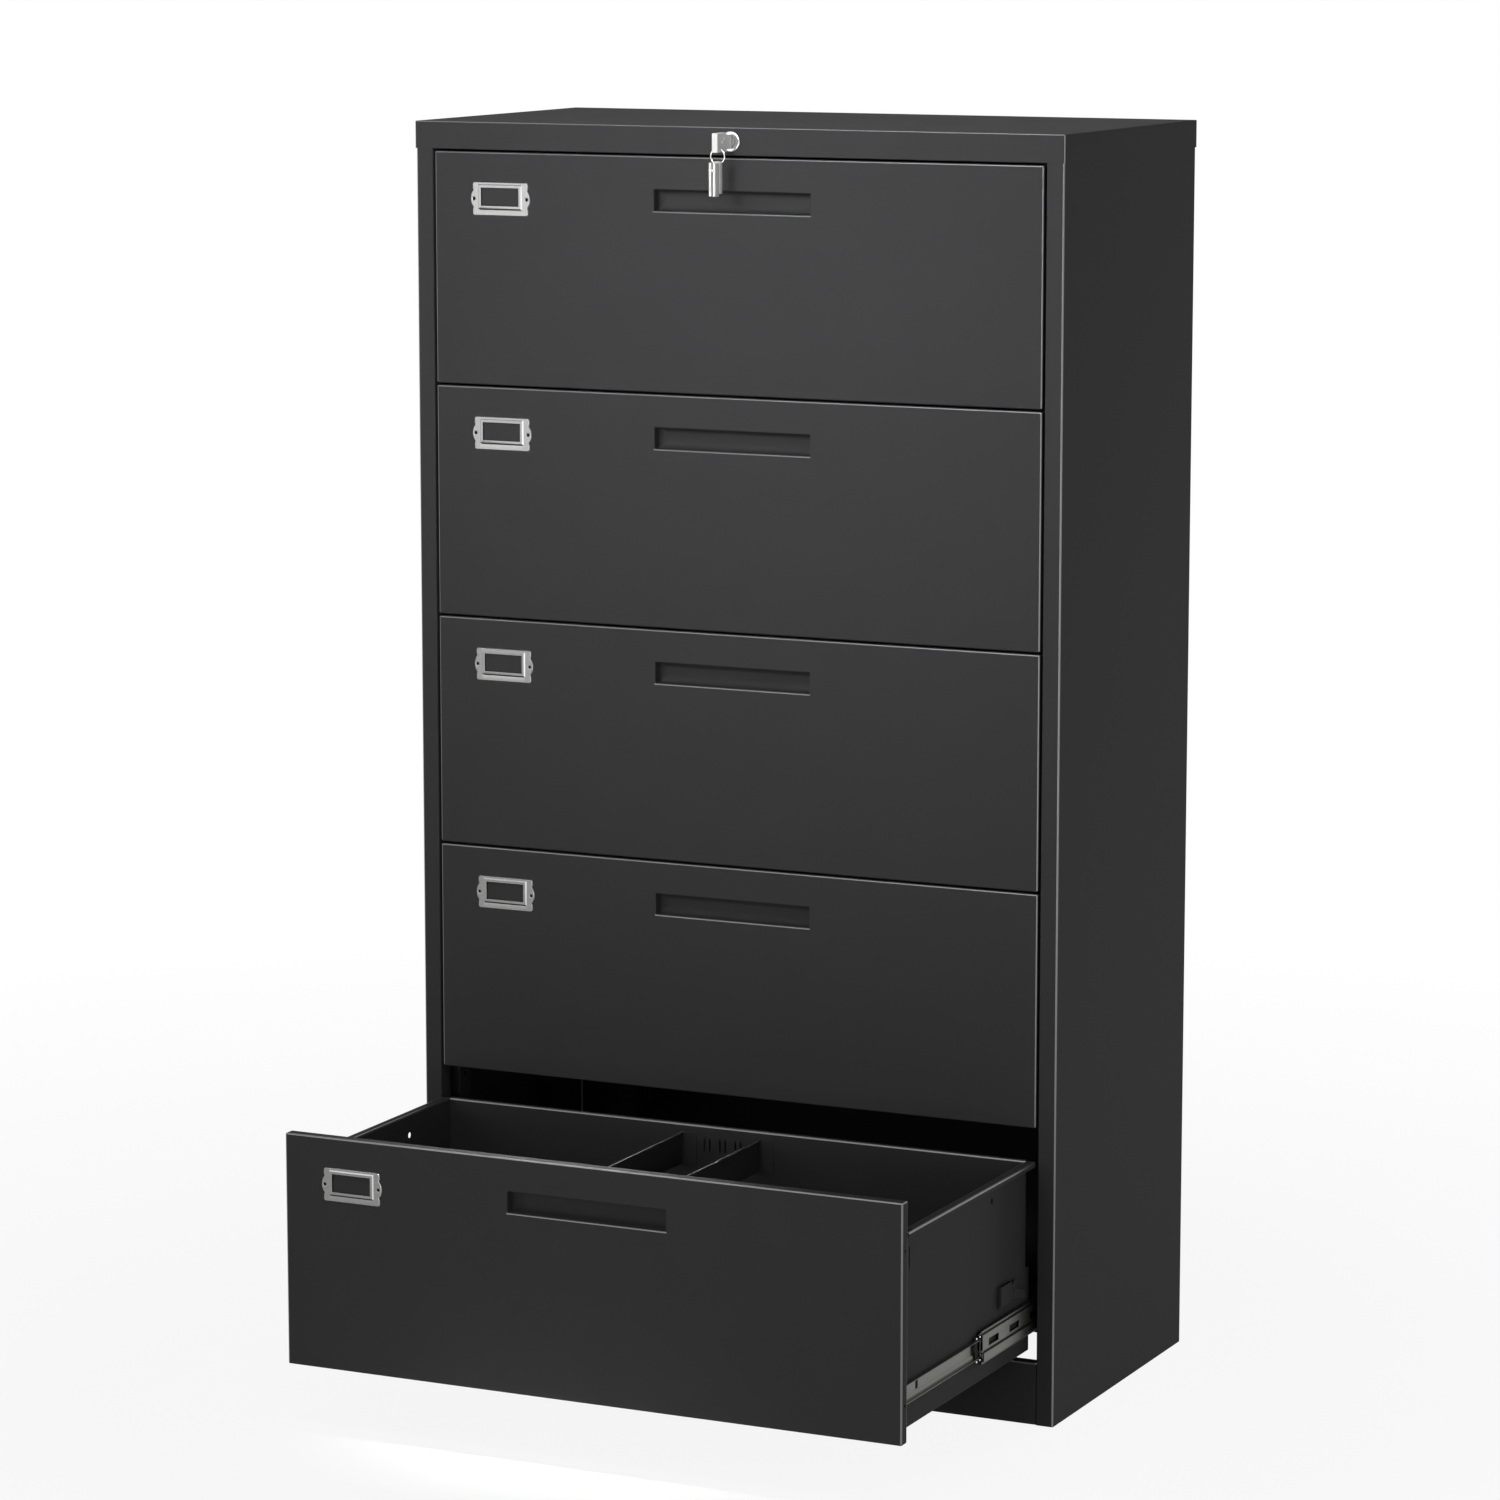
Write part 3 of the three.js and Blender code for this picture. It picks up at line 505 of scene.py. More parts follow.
class CABINET_OT_side_panels(bpy.types.Operator):
    """Side panels, each turned in at the front to make a post and at the back to take the back panel"""

    bl_idname = "cabinet.side_panels"
    bl_label = "Side panels"

    def execute(self, context):
        size = context.scene.cabinet_sizes
        low, high = (corner - CARCASS_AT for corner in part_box("side_panel_right"))
        for name, side in SIDES.items():
            path = [
                (side * low.x, 0.025, 0.0),
                (side * low.x, 0.0, 0.0),
                (side * high.x, 0.0, 0.0),
                (side * high.x, high.y, 0.0),
                (side * (high.x - 0.018), high.y, 0.0),
            ]
            inside = (side * (low.x + high.x) / 2, 0.2, high.z / 2)
            bm = folded(path, (0.0, 0.0, high.z), size.fold, inside)
            # Behind the fronts the post's inner fold isn't rubbed
            for face in bm.faces:
                if abs(face.calc_center_median().x) < low.x + size.fold:
                    face.material_index = 0
            piece(f"side_{name}", bm, "coat", "carcass", CARCASS_AT, [f"side_panel_{name}"], size.sheet)
        return {"FINISHED"}


class CABINET_OT_back_panel(bpy.types.Operator):
    """Back panel, a shallow tray set between the side panels"""

    bl_idname = "cabinet.back_panel"
    bl_label = "Back panel"

    def execute(self, context):
        size = context.scene.cabinet_sizes
        low, high = (corner - CARCASS_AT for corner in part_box("back_panel"))
        path = [
            (high.x, low.y, 0.0),
            (high.x, high.y, 0.0),
            (-high.x, high.y, 0.0),
            (-high.x, low.y, 0.0),
        ]
        bm = folded(path, (0.0, 0.0, high.z), size.fold, (0.0, 0.2, high.z / 2))
        piece("back", bm, "coat", "carcass", CARCASS_AT, ["back_panel"], size.sheet)
        return {"FINISHED"}


class CABINET_OT_base(bpy.types.Operator):
    """Kick plate with turned-in ends at the front, and the rear rail"""

    bl_idname = "cabinet.base"
    bl_label = "Base"

    def execute(self, context):
        size = context.scene.cabinet_sizes
        low, high = (corner - CARCASS_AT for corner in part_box("kick_plate"))
        path = [
            (low.x, 0.015, high.z),
            (low.x, 0.0, high.z),
            (low.x, 0.0, 0.0),
            (low.x, high.y, 0.0),
        ]
        across = (high.x - low.x, 0.0, 0.0)
        kick = folded(path, across, size.fold, (0.0, 0.02, high.z / 2))
        ends = []
        for x in (low.x, high.x):
            path = [(x, 0.0009, high.z - 0.002), (x, 0.0009, 0.002)]
            ends.append(folded(path, (0.0, 0.022, 0.0), size.fold, (0.0, 0.02, high.z / 2)))
        bm = merged(kick, *ends)
        piece("kick", bm, "coat", "carcass", CARCASS_AT, ["kick_plate"], size.sheet)

        low, high = (corner - CARCASS_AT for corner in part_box("rear_base_rail"))
        path = [
            (low.x, low.y, 0.0),
            (low.x, high.y, 0.0),
            (low.x, high.y, high.z),
            (low.x, high.y - 0.02, high.z),
        ]
        inside = (0.0, (low.y + high.y) / 2, high.z / 2)
        bm = folded(path, (high.x - low.x, 0.0, 0.0), size.fold, inside)
        piece("rear_rail", bm, "coat", "carcass", CARCASS_AT, ["rear_base_rail"], size.sheet)
        return {"FINISHED"}


class CABINET_OT_drawer_fronts(bpy.types.Operator):
    """Five folded fronts, each with a finger recess pressed into it and holes for its fixings"""

    bl_idname = "cabinet.drawer_fronts"
    bl_label = "Drawer fronts"

    def execute(self, context):
        size = context.scene.cabinet_sizes
        wide, high = FRONT_SIZE.x / 2, FRONT_SIZE.z
        bm = block((-wide, 0.0, 0.0), (wide, 0.016, high))
        back = [f for f in bm.faces if f.normal.y > 0.5]
        bmesh.ops.inset_region(bm, faces=back, thickness=0.018, use_even_offset=True)
        bmesh.ops.delete(bm, geom=back, context="FACES")
        top = high - size.pull_drop
        low = Vector((-size.pull_width / 2, -0.001, top - size.pull_height))
        pressed = score(bm, low, (size.pull_width / 2, 0.001, top))
        grown = bmesh.ops.extrude_face_region(bm, geom=pressed)["geom"]
        bmesh.ops.delete(bm, geom=[f for f in pressed if f.is_valid], context="FACES")
        push(bm, grown, (0.0, size.pull_depth, 0.0))
        # The recess's ends run into its back in a wide curve
        ends = [e for e in bm.edges if all(self.at_recess_end(v.co, size) for v in e.verts)]
        bmesh.ops.bevel(
            bm,
            geom=ends,
            offset=size.pull_curve,
            offset_type="OFFSET",
            segments=6,
            profile=0.5,
            affect="EDGES",
            material=-1,
        )
        round_folds(bm, size.fold)
        # Fingers rub the lower lip of the recess, and no other fold of it
        for face in bm.faces:
            if within(face.calc_center_median(), (low.x - 0.003, -1.0, low.z), (0.003 - low.x, 1.0, top + 0.003)):
                face.material_index = 0
        for x in (HOLDER_MIDDLE.x - EAR_HOLE, HOLDER_MIDDLE.x + EAR_HOLE):
            drill(bm, (x, 0.0, HOLDER_MIDDLE.z), 1, 0.0026)
        for side in SIDES.values():
            for z in (0.048, 0.238):
                drill(bm, (side * wide, 0.008, z), 0, 0.002)
        on_each_drawer(bm, "front", "coat", "front", size.sheet)
        return {"FINISHED"}

    def at_recess_end(self, point, size):
        return abs(point.y - size.pull_depth) < 1e-5 and abs(abs(point.x) - size.pull_width / 2) < 1e-5


class CABINET_OT_drawer_boxes(bpy.types.Operator):
    """Five drawer boxes: a wrapper with outward rims and low tails, and a slotted wall at each end"""

    bl_idname = "cabinet.drawer_boxes"
    bl_label = "Drawer boxes"

    inside = (0.0, 0.2, 0.13)

    def execute(self, context):
        size = context.scene.cabinet_sizes
        ends = [self.end_wall(size, BOX_BACK_WALL, 0.006), self.end_wall(size, BOX_FRONT_WALL, 0.0)]
        on_each_drawer(merged(self.wrapper(size), *ends), "box", "coat", "box", size.sheet)
        return {"FINISHED"}

    def wrapper(self, size):
        low, high = BOX_LOW, BOX_HIGH
        path = [
            (-high.x, low.y, high.z - 0.006),
            (-high.x, low.y, high.z),
            (-BOX_HALF, low.y, high.z),
            (-BOX_HALF, low.y, low.z),
            (BOX_HALF, low.y, low.z),
            (BOX_HALF, low.y, high.z),
            (high.x, low.y, high.z),
            (high.x, low.y, high.z - 0.006),
        ]
        bm = folded(path, (0.0, high.y - low.y, 0.0), size.fold, self.inside)
        beyond = high.y + 0.001
        for side in SIDES.values():
            near, far = sorted((side * (BOX_HALF - 0.002), side * (high.x + 0.001)))
            cut_window(bm, (near, BOX_BACK_WALL, 0.121), (far, beyond, high.z + 0.001))
            near, far = sorted((side * (BOX_HALF - 0.0005), side * (BOX_HALF + 0.0005)))
            drill(bm, (side * BOX_HALF, 0.298, 0.232), 0, 0.004)
            cut_window(bm, (near, 0.0438, 0.206), (far, 0.0464, 0.234))
        cut_window(
            bm,
            (-BOX_HALF + 0.003, BOX_BACK_WALL, low.z - 0.001),
            (BOX_HALF - 0.003, beyond, low.z + 0.001),
        )
        return bm

    def end_wall(self, size, y, rim):
        edge = -BOX_HALF + 0.0009
        path = [(edge, y, BOX_HIGH.z), (edge, y, BOX_LOW.z + 0.001)]
        if rim:
            path.insert(0, (edge, y + rim, BOX_HIGH.z))
        bm = folded(path, (-2 * edge, 0.0, 0.0), size.fold, self.inside)
        # Six pairs of narrow slots take the hooks of the file bars
        for pair in range(6):
            for half in (-1, 1):
                x = (pair - 2.5) * 0.022 + half * 0.00375
                cut_window(bm, (x - 0.0011, y - 0.0005, 0.2263), (x + 0.0011, y + 0.0005, 0.2423))
        return bm


class CABINET_OT_catches(bpy.types.Operator):
    """Catch on the right side of each drawer box: a folded bracket, a pivot and a lever"""

    bl_idname = "cabinet.catches"
    bl_label = "Catches"

    def execute(self, context):
        out, wall = BOX_HALF + 0.0058, BOX_HALF + 0.0004
        bracket = [
            (wall, 0.317, 0.0925),
            (out, 0.317, 0.0925),
            (out, 0.352, 0.0925),
            (wall, 0.352, 0.0925),
        ]
        bm = folded(bracket, (0.0, 0.0, 0.0255), 0.0012, (wall, 0.335, 0.105))
        bmesh.ops.solidify(bm, geom=bm.faces[:], thickness=0.0012)
        bmesh.ops.recalc_face_normals(bm, faces=bm.faces[:])
        lever = plate_of(
            [
                (out - 0.003, 0.345, 0.108),
                (out - 0.003, 0.366, 0.118),
                (out - 0.003, 0.37, 0.114),
                (out - 0.003, 0.364, 0.106),
                (out - 0.003, 0.398, 0.095),
                (out - 0.003, 0.396, 0.086),
                (out - 0.003, 0.345, 0.096),
            ],
            (0.002, 0.0, 0.0),
            0.0005,
        )
        foot = plate_of(
            [
                (BOX_HALF + 0.0002, 0.319, 0.096),
                (BOX_HALF + 0.0002, 0.395, 0.096),
                (BOX_HALF + 0.0002, 0.395, 0.088),
                (BOX_HALF + 0.0002, 0.319, 0.088),
            ],
            (0.0012, 0.0, 0.0),
            0.0004,
        )
        rivet = bmesh.new()
        bmesh.ops.create_uvsphere(
            rivet,
            u_segments=16,
            v_segments=8,
            radius=0.0036,
            matrix=Matrix.Translation((out - 0.001, 0.36, 0.103)) @ Matrix.Diagonal((0.4, 1.0, 1.0, 1.0)),
        )
        on_each_drawer(unrubbed(merged(bm, lever, foot, rivet)), "catch", "coat")
        return {"FINISHED"}


class CABINET_OT_file_bars(bpy.types.Operator):
    """Two hanging-file bars in each drawer, with end flanges that hook into the walls"""

    bl_idname = "cabinet.file_bars"
    bl_label = "File bars"

    def execute(self, context):
        size = context.scene.cabinet_sizes
        near, far = BOX_FRONT_WALL + 0.0011, BOX_BACK_WALL - 0.0011
        for name in SIDES:
            node = f"file_bar_{name}"
            low, high = (corner - DRAWER_AT[1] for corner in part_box(f"drawer_1_{node}"))
            path = [
                (low.x + 0.004, near, high.z),
                (low.x, near, high.z),
                (low.x, near, low.z),
            ]
            inside = (low.x + 0.002, 0.2, (low.z + high.z) / 2)
            bar = folded(path, (0.0, far - near, 0.0), 0.0016, inside)
            flanges = []
            for y in (near, far):
                path = [(low.x, y, high.z), (low.x, y, low.z)]
                flanges.append(folded(path, (high.x - low.x, 0.0, 0.0), 0.0008, inside))
            on_each_drawer(merged(bar, *flanges), node, "coat", node, size.sheet)
        return {"FINISHED"}


class CABINET_OT_label_holders(bpy.types.Operator):
    """Stamped label holder on each front: an eared plate with a raised frame cut free along its foot"""

    bl_idname = "cabinet.label_holders"
    bl_label = "Label holders"

    def execute(self, context):
        wide, ear = 0.04, 0.003
        tall = (HOLDER_HIGH.z - HOLDER_LOW.z) / 2
        quarter = [
            (wide, tall),
            (wide, 0.0128),
            (wide - 0.0012, 0.0108),
            (wide + 0.0008, 0.0088),
            (wide + 0.0024, 0.0048),
            (wide + ear, 0.0),
        ]
        right = quarter + [(x, -z) for x, z in reversed(quarter[:-1])]
        outline = right + [(-x, z) for x, z in reversed(right)]
        at = Vector((HOLDER_MIDDLE.x, HOLDER_HIGH.y, HOLDER_MIDDLE.z))
        bm = bmesh.new()
        bm.faces.new([bm.verts.new(at + Vector((x, 0.0, z))) for x, z in outline])
        bm.normal_update()
        if bm.faces[:][0].normal.y > 0:
            bmesh.ops.reverse_faces(bm, faces=bm.faces[:])
        corners = [v for v in bm.verts if abs(abs(v.co.z - at.z) - tall) < 1e-6]
        self.round_corners(bm, corners, 0.003)
        self.round_corners(bm, [v for v in bm.verts if abs(v.co.z - at.z) < 0.012], 0.0012)

        # The plate's edge slopes up from the front, then the frame is pressed out of the plate
        plate = bm.faces[:]
        bmesh.ops.inset_region(
            bm, faces=plate, thickness=0.0009, depth=0.0012, use_even_offset=True, use_boundary=True
        )
        flat = at.y - 0.0012
        low = (at.x - 0.0315, flat - 0.0005, at.z - 0.0134)
        high = (at.x + 0.0315, flat + 0.0005, at.z + 0.0186)
        raised = score(bm, low, high)
        bmesh.ops.inset_region(bm, faces=raised, thickness=0.0013, depth=0.0016, use_even_offset=True)
        bm.normal_update()
        foot = [f for f in bm.faces if f.normal.z < -0.3 and f.calc_center_median().y < flat - 0.0004]
        bmesh.ops.delete(bm, geom=foot, context="FACES")
        cut_window(bm, (low[0] + 0.0013, low[1], low[2] - 0.0008), (high[0] - 0.0013, high[1], low[2]))
        for border, depth in ((0.0029, 0.0), (0.0003, -0.0008)):
            bmesh.ops.inset_region(
                bm, faces=raised, thickness=border, depth=depth, use_even_offset=True, use_boundary=True
            )
        bmesh.ops.delete(bm, geom=raised, context="FACES")
        for x in (at.x - EAR_HOLE, at.x + EAR_HOLE):
            drill(bm, (x, flat, at.z), 1, 0.0021)
        round_folds(bm, 0.0004, 2)
        bm.normal_update()
        # Every face but the flat front takes the edge finish, a painted highlight in the chrome colour
        for face in bm.faces:
            face.material_index = int(abs(face.normal.y) < 0.95)
        on_each_drawer(bm, "label_holder", "nickel", "label_holder", 0.0006)
        return {"FINISHED"}

    def round_corners(self, bm, corners, radius):
        bmesh.ops.bevel(
            bm,
            geom=corners,
            offset=radius,
            segments=4,
            profile=0.5,
            affect="VERTICES",
            material=-1,
            clamp_overlap=True,
        )


class CABINET_OT_slides(bpy.types.Operator):
    """Telescopic slides: uprights with outer members, middle members with ball cages, inner members"""

    bl_idname = "cabinet.slides"
    bl_label = "Slides"

    def execute(self, context):
        size = context.scene.cabinet_sizes
        for name, side in SIDES.items():
            self.uprights(size, name, side)
            self.outers(size, name, side)
            for number in NUMBERS:
                self.middle(size, number, name, side)
                self.cage(size, number, name, side)
                self.inner(size, number, name, side)
        return {"FINISHED"}

    def uprights(self, size, name, side):
        posts = []
        for front in (0.05, 0.315):
            path = [
                (side * 0.4478, front + 0.03, 0.0),
                (side * 0.4246, front + 0.03, 0.0),
                (side * 0.4246, front, 0.0),
                (side * 0.4478, front, 0.0),
            ]
            bm = folded(path, (0.0, 0.0, 1.58), 0.0012, (side * 0.44, front + 0.015, 0.8))
            for step in range(25):
                drill(bm, (side * 0.4246, front + 0.015, 0.12 + step * 0.06), 0, 0.003)
            posts.append(unrubbed(bm))
        node = f"rail_frame_{name}"
        piece(f"uprights_{name}", merged(*posts), "coat", "carcass", CARCASS_AT, [node], size.sheet)

    def outers(self, size, name, side):
        rows = []
        for number in NUMBERS:
            z = DRAWER_AT[number].z + SLIDE_LINE
            web, tips = side * 0.4248, side * 0.4165
            path = [
                (tips, 0.024, z + 0.0225),
                (web, 0.024, z + 0.0225),
                (web, 0.024, z - 0.0225),
                (tips, 0.024, z - 0.0225),
            ]
            rows.append(folded(path, (0.0, 0.4, 0.0), 0.0025, (tips, 0.2, z)))
        node = f"rail_frame_{name}"
        piece(f"slide_outers_{name}", merged(*rows), "zinc", "carcass", CARCASS_AT, [node], size.slide_gauge)

    def middle(self, size, number, name, side):
        node = f"drawer_{number}_slide_middle_{name}"
        low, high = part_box(node)
        tips, sunk, web = side * 0.4147, side * 0.4202, side * 0.422
        path = [
            (tips, 0.0, 0.021),
            (side * 0.4186, 0.0, 0.021),
            (side * 0.4186, 0.0, 0.0192),
            (side * 0.4165, 0.0, 0.0188),
            (side * 0.4165, 0.0, 0.017),
            (sunk, 0.0, 0.0164),
            (sunk, 0.0, -0.0034),
            (side * 0.418, 0.0, -0.0038),
            (side * 0.418, 0.0, -0.0056),
            (web, 0.0, -0.0062),
            (web, 0.0, -0.0168),
            (side * 0.4186, 0.0, -0.0188),
            (side * 0.4186, 0.0, -0.021),
            (tips, 0.0, -0.021),
        ]
        bm = folded(path, (0.0, high.y - low.y, 0.0), 0.0004, (tips, 0.18, 0.0), 2)
        near, far = sorted((sunk - side * 0.0005, sunk + side * 0.0005))
        for step in range(5):
            y = 0.0345 + step * 0.0665
            cut_window(bm, (near, y - 0.016, -0.0011), (far, y + 0.016, 0.0082))
        # The front end is turned in as a stop with a window
        path = [(side * 0.4199, 0.0006, 0.012), (side * 0.4199, 0.0006, -0.012)]
        stop = folded(path, (side * -0.005, 0.0, 0.0), 0.0005, (side * 0.4175, 0.2, 0.0))
        near, far = sorted((side * 0.4163, side * 0.4188))
        cut_window(stop, (near, 0.0, -0.008), (far, 0.001, 0.0075))
        bm = merged(bm, stop)
        body = f"runner_{number}"
        piece(f"slide_middle_{number}_{name}", bm, "zinc", body, RUNNER_AT[number], [node], size.slide_gauge)

    def cage(self, size, number, name, side):
        x, body = side * 0.4163, f"runner_{number}"
        path = [(x, -0.016, 0.0148), (x, -0.016, -0.0148)]
        strip = folded(path, (0.0, 0.15, 0.0), 0.0008, (side * 0.3, 0.0, 0.0))
        # Its windows lie between the slots of the middle member, so the slots show its dark steel as painted
        # shade
        for step in range(2):
            y = 0.002 + step * 0.066
            cut_window(strip, (x - 0.0005, y - 0.01, -0.0085), (x + 0.0005, y + 0.01, 0.0085))
        piece(f"ball_cage_{number}_{name}", strip, "cage", body, RUNNER_AT[number], (), 0.0007)
        balls = bmesh.new()
        for row in (-1, 1):
            for step in range(14):
                spot = Matrix.Translation((x, -0.012 + step * 0.0108, row * 0.0146))
                bmesh.ops.create_icosphere(balls, subdivisions=2, radius=size.ball, matrix=spot)
        piece(f"balls_{number}_{name}", balls, "chrome", body, RUNNER_AT[number])

    def inner(self, size, number, name, side):
        node = f"drawer_{number}_slide_inner_{name}"
        low, high = (corner - DRAWER_AT[number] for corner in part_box(node))
        web, tips = side * 0.4116, side * 0.418
        crease = low.z + 0.0075
        path = [
            (tips, low.y, high.z),
            (web, low.y, high.z),
            (web, low.y, crease),
            (web + side * 0.0018, low.y, crease - 0.0016),
            (web + side * 0.0018, low.y, low.z),
            (tips, low.y, low.z),
        ]
        bm = folded(path, (0.0, high.y - low.y, 0.0), 0.0008, (tips, 0.2, SLIDE_LINE), 2)
        near, far = sorted((web - side * 0.0005, web + side * 0.0005))
        for y in (0.065, 0.33):
            cut_window(bm, (near, y - 0.004, 0.0535), (far, y + 0.004, 0.0665))
        body = f"drawer_{number}"
        piece(f"slide_inner_{number}_{name}", bm, "zinc", body, DRAWER_AT[number], [node], size.slide_gauge)


class CABINET_OT_lock(bpy.types.Operator):
    """Cam lock in the apron: a turned case, a core with a keyway, and the works behind"""

    bl_idname = "cabinet.lock"
    bl_label = "Lock"

    def execute(self, context):
        case = spun(
            [
                (0.0070, -0.0036),
                (0.0074, -0.0039),
                (0.0112, -0.0039),
                (0.0124, -0.0035),
                (0.0130, -0.0026),
                (0.0130, -0.0014),
                (0.0095, -0.0014),
                (0.0095, 0.022),
                (0.0070, 0.022),
            ],
            (0.0, LOCK_MIDDLE),
        )
        piece("lock_case", case, "chrome", "carcass", CARCASS_AT, ["lock_barrel"])
        self.core()
        for node in ("lock_nut", "lock_cam", "lock_bar"):
            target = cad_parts[node]
            target.data.materials.clear()
            target.data.materials.append(finish_of("zinc"))
        return {"FINISHED"}

    def core(self):
        face, bm = -0.0044, bmesh.new()
        place = Matrix.Translation((0.0, face, LOCK_MIDDLE)) @ Matrix.Rotation(math.pi / 2, 4, "X")
        ring = bmesh.ops.create_circle(bm, cap_ends=False, segments=32, radius=0.0067, matrix=place)["verts"]
        rim = list({e for v in ring for e in v.link_edges})
        keyway = ((-0.0013, -0.0045), (0.0013, -0.0045), (0.0013, 0.0045), (-0.0013, 0.0045))
        corners = [bm.verts.new((x, face, LOCK_MIDDLE + z)) for x, z in keyway]
        slot = [bm.edges.new(pair) for pair in zip(corners, corners[1:] + corners[:1])]
        bmesh.ops.bridge_loops(bm, edges=rim + slot)
        for edges, depth in ((rim, 0.0262), (slot, 0.0222)):
            grown = bmesh.ops.extrude_edge_only(bm, edges=edges)["geom"]
            push(bm, grown, (0.0, depth, 0.0))
            loop = [e for e in grown if isinstance(e, bmesh.types.BMEdge) and e.is_boundary]
            bmesh.ops.edgeloop_fill(bm, edges=loop)
        bmesh.ops.recalc_face_normals(bm, faces=bm.faces[:])
        piece("lock_core", bm, "chrome", "lock_core", CARCASS_AT, ["lock_plug"])


class CABINET_OT_keys(bpy.types.Operator):
    """Key in the lock, with a ring through its bow and a folded spare on the ring"""

    bl_idname = "cabinet.keys"
    bl_label = "Keys"

    def execute(self, context):
        size = context.scene.cabinet_sizes
        hole = Vector((0.0, -0.0392, LOCK_MIDDLE - 0.0068))
        middle = hole - Vector((0.0, 0.0, 0.0004 + size.ring))
        piece("key_in_lock", self.key(hole), "key", "key", CARCASS_AT, ["key"])
        piece("key_ring", self.ring(size, middle), "chrome", "key", CARCASS_AT)
        piece("spare_key", self.spare(middle - Vector((0.0, 0.0, size.ring))), "key", "key", CARCASS_AT)
        return {"FINISHED"}

    def panelled(self, low, high, border, depth):
        """Rounded block whose two flat sides are pressed in."""
        bm = block(low, high)
        round_folds(bm, 0.0008, 2)
        bm.normal_update()
        for side in (-1, 1):
            faces = [f for f in bm.faces if f.normal.x * side > 0.99]
            bmesh.ops.inset_region(bm, faces=faces, thickness=border, depth=-depth, use_even_offset=True)
        return bm

    def key(self, hole):
        z = LOCK_MIDDLE
        bow = self.panelled((-0.004, -0.0482, z - 0.012), (0.004, -0.0212, z + 0.012), 0.0013, 0.0005)
        bore(bow, hole, 0.0035, 0.0017)
        neck = self.panelled((-0.0031, -0.0216, z - 0.0092), (0.0031, -0.0052, z + 0.0092), 0.0016, 0.0005)
        # Cuts along the blade's lower edge lift the pins
        blade = plate_of(
            [
                (-0.001, -0.006, z + 0.0042),
                (-0.001, 0.0152, z + 0.0042),
                (-0.001, 0.0176, z + 0.0016),
                (-0.001, 0.0156, z - 0.0024),
                (-0.001, 0.0132, z - 0.0012),
                (-0.001, 0.0108, z - 0.0034),
                (-0.001, 0.0084, z - 0.0018),
                (-0.001, 0.006, z - 0.0036),
                (-0.001, 0.0036, z - 0.0022),
                (-0.001, 0.0012, z - 0.0042),
                (-0.001, -0.006, z - 0.0042),
            ],
            (0.002, 0.0, 0.0),
            0.0002,
        )
        rivets = []
        for side in (-1, 1):
            for y, up in ((-0.0272, 0.0045), (-0.0335, 0.0005)):
                rivet = bmesh.new()
                place = Matrix.Translation((side * 0.0034, y, z + up)) @ Matrix.Diagonal((0.45, 1.0, 1.0, 1.0))
                bmesh.ops.create_uvsphere(rivet, u_segments=16, v_segments=8, radius=0.002, matrix=place)
                rivets.append(rivet)
        return merged(bow, neck, blade, *rivets)

    def ring(self, size, middle):
        bm = bmesh.new()
        place = Matrix.Translation(middle + Vector((size.ring, 0.0, 0.0)))
        wire = bmesh.ops.create_circle(bm, cap_ends=False, segments=12, radius=size.wire, matrix=place)["verts"]
        bmesh.ops.spin(
            bm,
            geom=wire + list({e for v in wire for e in v.link_edges}),
            cent=middle,
            axis=(0.0, 1.0, 0.0),
            dvec=(0.0, 0.0, 0.0),
            angle=2 * math.pi,
            steps=48,
            use_merge=True,
            use_duplicate=False,
        )
        bmesh.ops.remove_doubles(bm, verts=bm.verts[:], dist=1e-6)
        bmesh.ops.recalc_face_normals(bm, faces=bm.faces[:])
        return bm

    def spare(self, hung):
        """Three leaves on a pin, the front one split and the rear one bored for the ring."""
        top = hung.z + 0.003
        leaves = []
        for left, right, near, far, high, low in (
            (-0.0045, -0.0008, -0.0165, -0.0104, 0.0008, 0.0425),
            (0.0008, 0.0045, -0.0165, -0.0104, 0.0008, 0.0425),
            (-0.0037, 0.0037, -0.0092, -0.004, 0.0014, 0.0432),
            (-0.0045, 0.0045, -0.0028, 0.004, 0.0, 0.0402),
        ):
            leaf = block((left, hung.y + near, top - low), (right, hung.y + far, top - high))
            round_folds(leaf, 0.0006, 2)
            leaves.append(leaf)
        bore(leaves[-1], hung, 0.0045, 0.0013)
        ends = hung.y - 0.0171, hung.y + 0.0046
        profile = [(0.0, ends[0]), (0.0016, ends[0] + 0.0003), (0.0016, ends[1] - 0.0003), (0.0, ends[1])]
        pin = spun(profile, (0.0, top - 0.011), 16, False)
        return merged(*leaves, pin)


